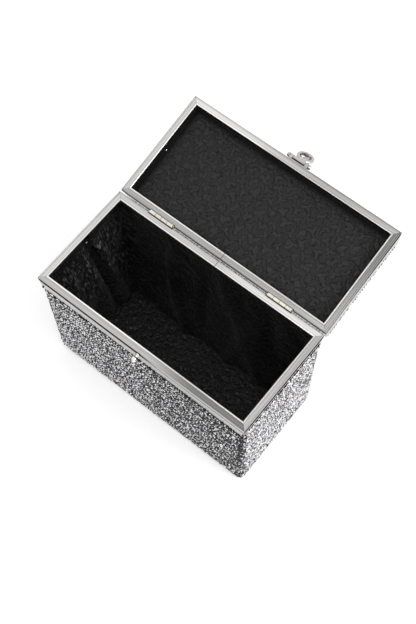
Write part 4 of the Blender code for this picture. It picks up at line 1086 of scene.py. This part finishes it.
def run_cloth(item, pinned):
    """Places of a cloth's points after it has grown, with its first points pinned."""
    group = item.vertex_groups.new(name="rim")
    group.add(list(range(pinned)), 1.0, "REPLACE")
    cloth = item.modifiers.new("cloth", "CLOTH")
    for name, value in CLOTH_SETTINGS.items():
        setattr(cloth.settings, name, value)
    cloth.settings.effector_weights.gravity = CLOTH_GRAVITY
    cloth.collision_settings.use_collision = False
    cloth.point_cache.frame_start = 1
    cloth.point_cache.frame_end = CLOTH_FRAMES
    for number in range(1, CLOTH_FRAMES + 1):
        bpy.context.scene.frame_set(number)
    evaluated = item.evaluated_get(bpy.context.evaluated_depsgraph_get())
    places = np.zeros(3 * len(evaluated.data.vertices))
    evaluated.data.vertices.foreach_get("co", places)
    item.modifiers.remove(cloth)
    item.vertex_groups.clear()
    bpy.context.scene.frame_set(1)
    return places.reshape(-1, 3)


def thicken(item):
    """Make a flat cloth finer and give it its thickness."""
    finer = item.modifiers.new("finer", "SUBSURF")
    finer.levels = 1
    finer.render_levels = 1
    thick = item.modifiers.new("thickness", "SOLIDIFY")
    thick.thickness = CLOTH_THICKNESS
    thick.offset = 0
    evaluated = item.evaluated_get(bpy.context.evaluated_depsgraph_get())
    mesh = bpy.data.meshes.new_from_object(evaluated)
    item.modifiers.clear()
    item.data = mesh


def held(moves, reach):
    """Moves cut short at a reach."""
    length = np.linalg.norm(moves, axis=1, keepdims=True)
    return moves * np.minimum(1, reach / np.maximum(length, TINY))


def make_body_lining(material):
    """Loose black cloth tray: hung slack, grown in a cloth run so that it wrinkles, and held to the shell."""
    top = BODY_HEIGHT - RIM_THICKNESS
    bottom = FLOOR_LIFT + LINING_OUT + CLOTH_THICKNESS
    half_x, half_y = half_sizes(COVER_INSET + LINING_OUT + CLOTH_THICKNESS)
    points, faces, pinned = tray_grid(half_x, half_y, top, bottom)
    item = new_object("body_lining_cloth", points, faces, [material])
    recalc(item)
    cloth_coordinates(item, top)
    tray = np.array([tuple(vertex.co) for vertex in item.data.vertices])
    hung = slumped(tray, half_x, half_y, top, bottom)
    waves = rng.normal(0, 1, (SWELL_WAVES, 3))
    phases = rng.uniform(0, 2 * math.pi, SWELL_WAVES)
    swell = sum(np.sin(hung @ (wave * SWELL_SCALE) + phase) for wave, phase in zip(waves, phases))
    depth = SWELL_DEPTH * np.abs(swell) / SWELL_WAVES * (np.arange(len(hung)) >= pinned)
    places = hung - hung * (1, 1, 0) / (half_x, half_y, 1) * depth[:, None]
    item.data.vertices.foreach_set("co", places.ravel())
    places = run_cloth(item, pinned)
    drop = np.clip(top - tray[:, 2:], 0, None)
    places = tray + held(hung + held(places - hung, CLOTH_REACH) - tray, RIM_SLOPE * drop)
    taper = WALL_TAPER * drop / (top - bottom)
    limits = np.concatenate((half_x - taper, half_y - taper), axis=1)
    places[:, :2] = np.clip(places[:, :2], -limits, limits)
    places[:, 2] = np.clip(places[:, 2], bottom, top)
    item.data.vertices.foreach_set("co", places.ravel())
    item.data.update()
    thicken(item)
    stand_in(item, "body_lining", "body")


def make_lid_side_lining(material):
    """Thin black cloth round the inside of the lid's walls, faintly bowed and wavy."""
    top = RIM_THICKNESS
    bottom = LID.reach - LINING_OUT - CLOTH_THICKNESS
    inset = COVER_INSET + LINING_OUT
    places, outward = rounded_loop(inset, SIDE_CORNER)
    count = len(places)
    swell = np.zeros(count)
    for number in range(1, SIDE_WAVES):
        swell += rng.normal(0, 1 / math.sqrt(number)) * np.sin(
            2 * math.pi * number * np.arange(count) / count + rng.uniform(0, 2 * math.pi))
    swell = SIDE_SWELL * np.maximum(swell, 0) / np.abs(swell).max()
    loops = []
    for extra, steps in ((0, range(SIDE_STEPS + 1)), (CLOTH_THICKNESS, range(SIDE_STEPS, -1, -1))):
        for share in (step / SIDE_STEPS for step in steps):
            drawn = CLOTH_THICKNESS / 2 + (SIDE_BOW + swell) * math.sin(share * math.pi) + extra
            depth = top + share * (bottom - top)
            loops.append([(x, y, LID.z(depth)) for x, y in places - outward * drawn[:, None]])
    points, faces = skin(loops, closed_ring=True)
    item = new_object("lid_side_cloth", points, faces, [material], LID.matrix)
    recalc(item)
    stand_in(item, "lid_side_lining", "lid")


def make_lid_panel(material):
    """Thin padded panel: a stretched face with a low crown and soft dents, and rounded edges."""
    half_x, half_y = half_sizes(COVER_INSET + LINING_IN + PANEL_GAP)
    back = LID.reach - LINING_OUT
    front = back - PANEL_THICKNESS
    columns, rows = PANEL_CELLS
    waves = rng.normal(0, 1, (PANEL_WAVES, 2))
    phases = rng.uniform(0, 2 * math.pi, PANEL_WAVES)
    u, v = np.meshgrid(np.linspace(-1, 1, columns + 1), np.linspace(-1, 1, rows + 1))
    x, y = (half * (PANEL_EASE * np.sin(share * math.pi / 2) + (1 - PANEL_EASE) * share)
            for half, share in ((half_x, u.ravel()), (half_y, v.ravel())))
    edge = np.minimum(half_x - np.abs(x), half_y - np.abs(y))
    fall = PANEL_FALL * np.exp(-edge / PANEL_FALL)
    dents = sum(np.sin(PANEL_WAVE_SCALE * (wave[0] * x + wave[1] * y) + phase)
                for wave, phase in zip(waves, phases))
    soft = PANEL_DENT * dents * (1 - np.exp(-edge / PANEL_DENT_REACH))
    crown = PANEL_CROWN * (1 - np.exp(-edge / PANEL_CROWN_REACH))
    points = list(zip(x, y, LID.z(front + PANEL_SINK + fall - crown + soft)))
    width = columns + 1
    faces = []
    for low in (row * width + column for row in range(rows) for column in range(columns)):
        faces.append((low, low + 1, low + width + 1, low + width))
    rim = [row * width + column for column, row in grid_border(columns, rows)]
    start = len(points)
    points += [(x[place], y[place], LID.z(back)) for place in rim]
    for place in range(len(rim)):
        after = (place + 1) % len(rim)
        faces.append((rim[place], rim[after], start + after, start + place))
    faces.append(tuple(range(start, start + len(rim))))
    item = new_object("lid_padded_panel", points, faces, [material], LID.matrix)
    recalc(item)
    item.data.set_sharp_from_angle(angle=math.radians(PANEL_SHARP_ANGLE))
    stand_in(item, "lid_lining_panel", "lid")


# Dressing

def dress_stones():
    """The stones by the side that they face, and the net under them."""
    materials = stone_materials()
    net = backing_cloth()
    make_backing(BODY, net)
    make_backing(LID, net)
    half_stone = STONE_PITCH / 2
    rows = wall_rows(BODY, END_BAND_SHOWN + half_stone, COVER_INSET + WALL_TAPER + BASE_MARGIN - half_stone)
    stones = row_stones(BODY, rows)
    x, y, z = stones[1].T
    sides = np.stack((x, y, -x, -y, -z)).argmax(axis=0)
    for side, name in enumerate(("right", "rear", "left", "front", "under")):
        make_stones("body_stones_" + name, BODY, [values[sides == side] for values in stones], materials)
    rows = wall_rows(LID, LID_BAND_SHOWN + half_stone, 0)
    make_stones("lid_stones_sides", LID, row_stones(LID, rows), materials)
    make_stones("lid_stones_top", LID, top_stones(LID, rows[-1][0] + TOP_MARGIN), materials)


def assign(material, *starts):
    """Give a material to each CAD node whose name starts so."""
    for name, item in frame["nodes"].items():
        if name.startswith(starts):
            item.data.materials.clear()
            item.data.materials.append(material)


def dress_nodes():
    assign(frame_metal(BODY), "body_frame", "body_seam_splice")
    assign(frame_metal(LID), "lid_frame", "lid_seam_splice")
    # The hinges get painted shade on their lower front side.
    assign(polished_metal("hinge_metal", (0.86, 0.82, 0.70), 0.12, 0.30, shaded_side=(0, -0.85, -0.50)), "hinge_")
    assign(polished_metal("polished_metal", (0.60, 0.575, 0.57), 0.05, 0.16),
           "catch_nut", "latch_", "body_side_screw", "lid_side_screw")
    assign(polished_metal("spring_steel", (0.55, 0.55, 0.57), 0.18, 0.32),
           "latch_spring", "body_side_block", "lid_side_block")
    # The catch's ball gets painted shade on its lower front left.
    assign(polished_metal("catch_ball", (0.92, 0.90, 0.84), 0.05, 0.14, 0.003, (-0.55, -0.80, -0.25)),
           "catch_stud")
    assign(fibre_board(), "body_shell", "lid_shell")
    assign(base_leather(), "base_panel")


def dress_linings():
    black = jacquard("black_lining", 0.0028, 0.0095, uv=True, rumple=0.0020, gloss=(0.50, 0.28), level=0.45,
                     shade=tray_shade)
    charcoal = jacquard("charcoal_jacquard", 0.0200, 0.0228, LID.matrix, rumple=0.0016, level=0.16)
    plain = jacquard("black_side_lining", 0.0025, 0.0050, LID.matrix, level=0.08)
    make_body_lining(black)
    make_lid_side_lining(plain)
    make_lid_panel(charcoal)


# Stage

def make_world():
    """White to the camera and in the metal, and a dimmer light on the rest."""
    tree = Tree(bpy.data.worlds.new("studio"))
    bpy.context.scene.world = tree.owner
    background = tree.nodes["Background"].inputs
    background["Color"].default_value = (1, 1, 1, 1)
    tree.put(background["Strength"], tree.ramp(tree.seen(), 0, 1, WORLD_LEVEL, 1.0))


def make_floor():
    """White table that keeps the soft shadow and reads as a white background."""
    tree = material_tree("white_table")
    glow = tree.times(tree.seen(), FLOOR_GLOW)
    material = tree.finish(Base_Color=grey(FLOOR_TONE), Roughness=0.9, Specular_IOR_Level=0.0,
                           Emission_Color=(1, 1, 1, 1), Emission_Strength=glow)
    corners = [(x * FLOOR_REACH, y * FLOOR_REACH, -FLOOR_DEPTH)
               for x, y in ((-1, -1), (1, -1), (1, 1), (-1, 1))]
    new_object("white_table", corners, [(0, 1, 2, 3)], [material])


def make_cards():
    """Two black cards beside the table, seen only in the metal, as a photographer sets them."""
    tree = material_tree("black_card")
    cloth = tree.noise(tree.place(), 400.0)
    material = tree.finish(Base_Color=tree.mix(cloth, grey(0.002), grey(0.006)), Roughness=0.9,
                           Specular_IOR_Level=0.0)
    for number, (turn, width) in enumerate(CARD_TURNS_AND_WIDTHS):
        facing = Matrix.Rotation(math.radians(turn), 4, "Z") @ Matrix.Translation((CARD_REACH, 0, 0))
        corners = [facing @ Vector((0, side * width / 2, level * CARD_HEIGHT))
                   for side, level in ((-1, 0), (1, 0), (1, 1), (-1, 1))]
        card = new_object("black_card_" + str(number + 1), corners, [(0, 1, 2, 3)], [material])
        for rays in ("camera", "diffuse", "shadow", "transmission"):
            setattr(card, "visible_" + rays, False)


def make_lamp(name, place, target, size, power):
    light = bpy.data.lights.new(name, "AREA")
    light.shape = "DISK"
    light.size = size
    light.energy = power
    item = link(name, light)
    item.location = place
    item.rotation_euler = (Vector(target) - Vector(place)).to_track_quat("-Z", "Y").to_euler()


def make_camera():
    """The view from which the proportions were solved: high, from the front right."""
    azimuth, elevation, roll = map(math.radians, (CAMERA_AZIMUTH, CAMERA_ELEVATION, CAMERA_ROLL))
    back = Vector((math.sin(azimuth) * math.cos(elevation), -math.cos(azimuth) * math.cos(elevation),
                   math.sin(elevation)))
    level = Vector((0, 0, 1)).cross(back).normalized()
    upright = back.cross(level)
    across = math.cos(roll) * level + math.sin(roll) * upright
    up = -math.sin(roll) * level + math.cos(roll) * upright
    right, rise = CAMERA_SHIFT
    place = Vector((0, 0, BODY_HEIGHT)) + FRAME_WIDTH * (back * CAMERA_DISTANCE + across * right + up * rise)
    camera = bpy.data.cameras.new("camera")
    camera.sensor_fit = "HORIZONTAL"
    camera.sensor_width = 36
    camera.lens = CAMERA_LENS
    camera.clip_start = 0.01
    item = link("camera", camera)
    item.matrix_world = Matrix.Translation(place) @ Matrix((across, up, back)).transposed().to_4x4()
    bpy.context.scene.camera = item


def make_stage():
    make_world()
    make_floor()
    make_cards()
    for lamp in LAMPS:
        make_lamp(*lamp)
    make_camera()
    bpy.context.scene.view_settings.view_transform = "Standard"


dress_nodes()
dress_stones()
dress_linings()
make_stage()
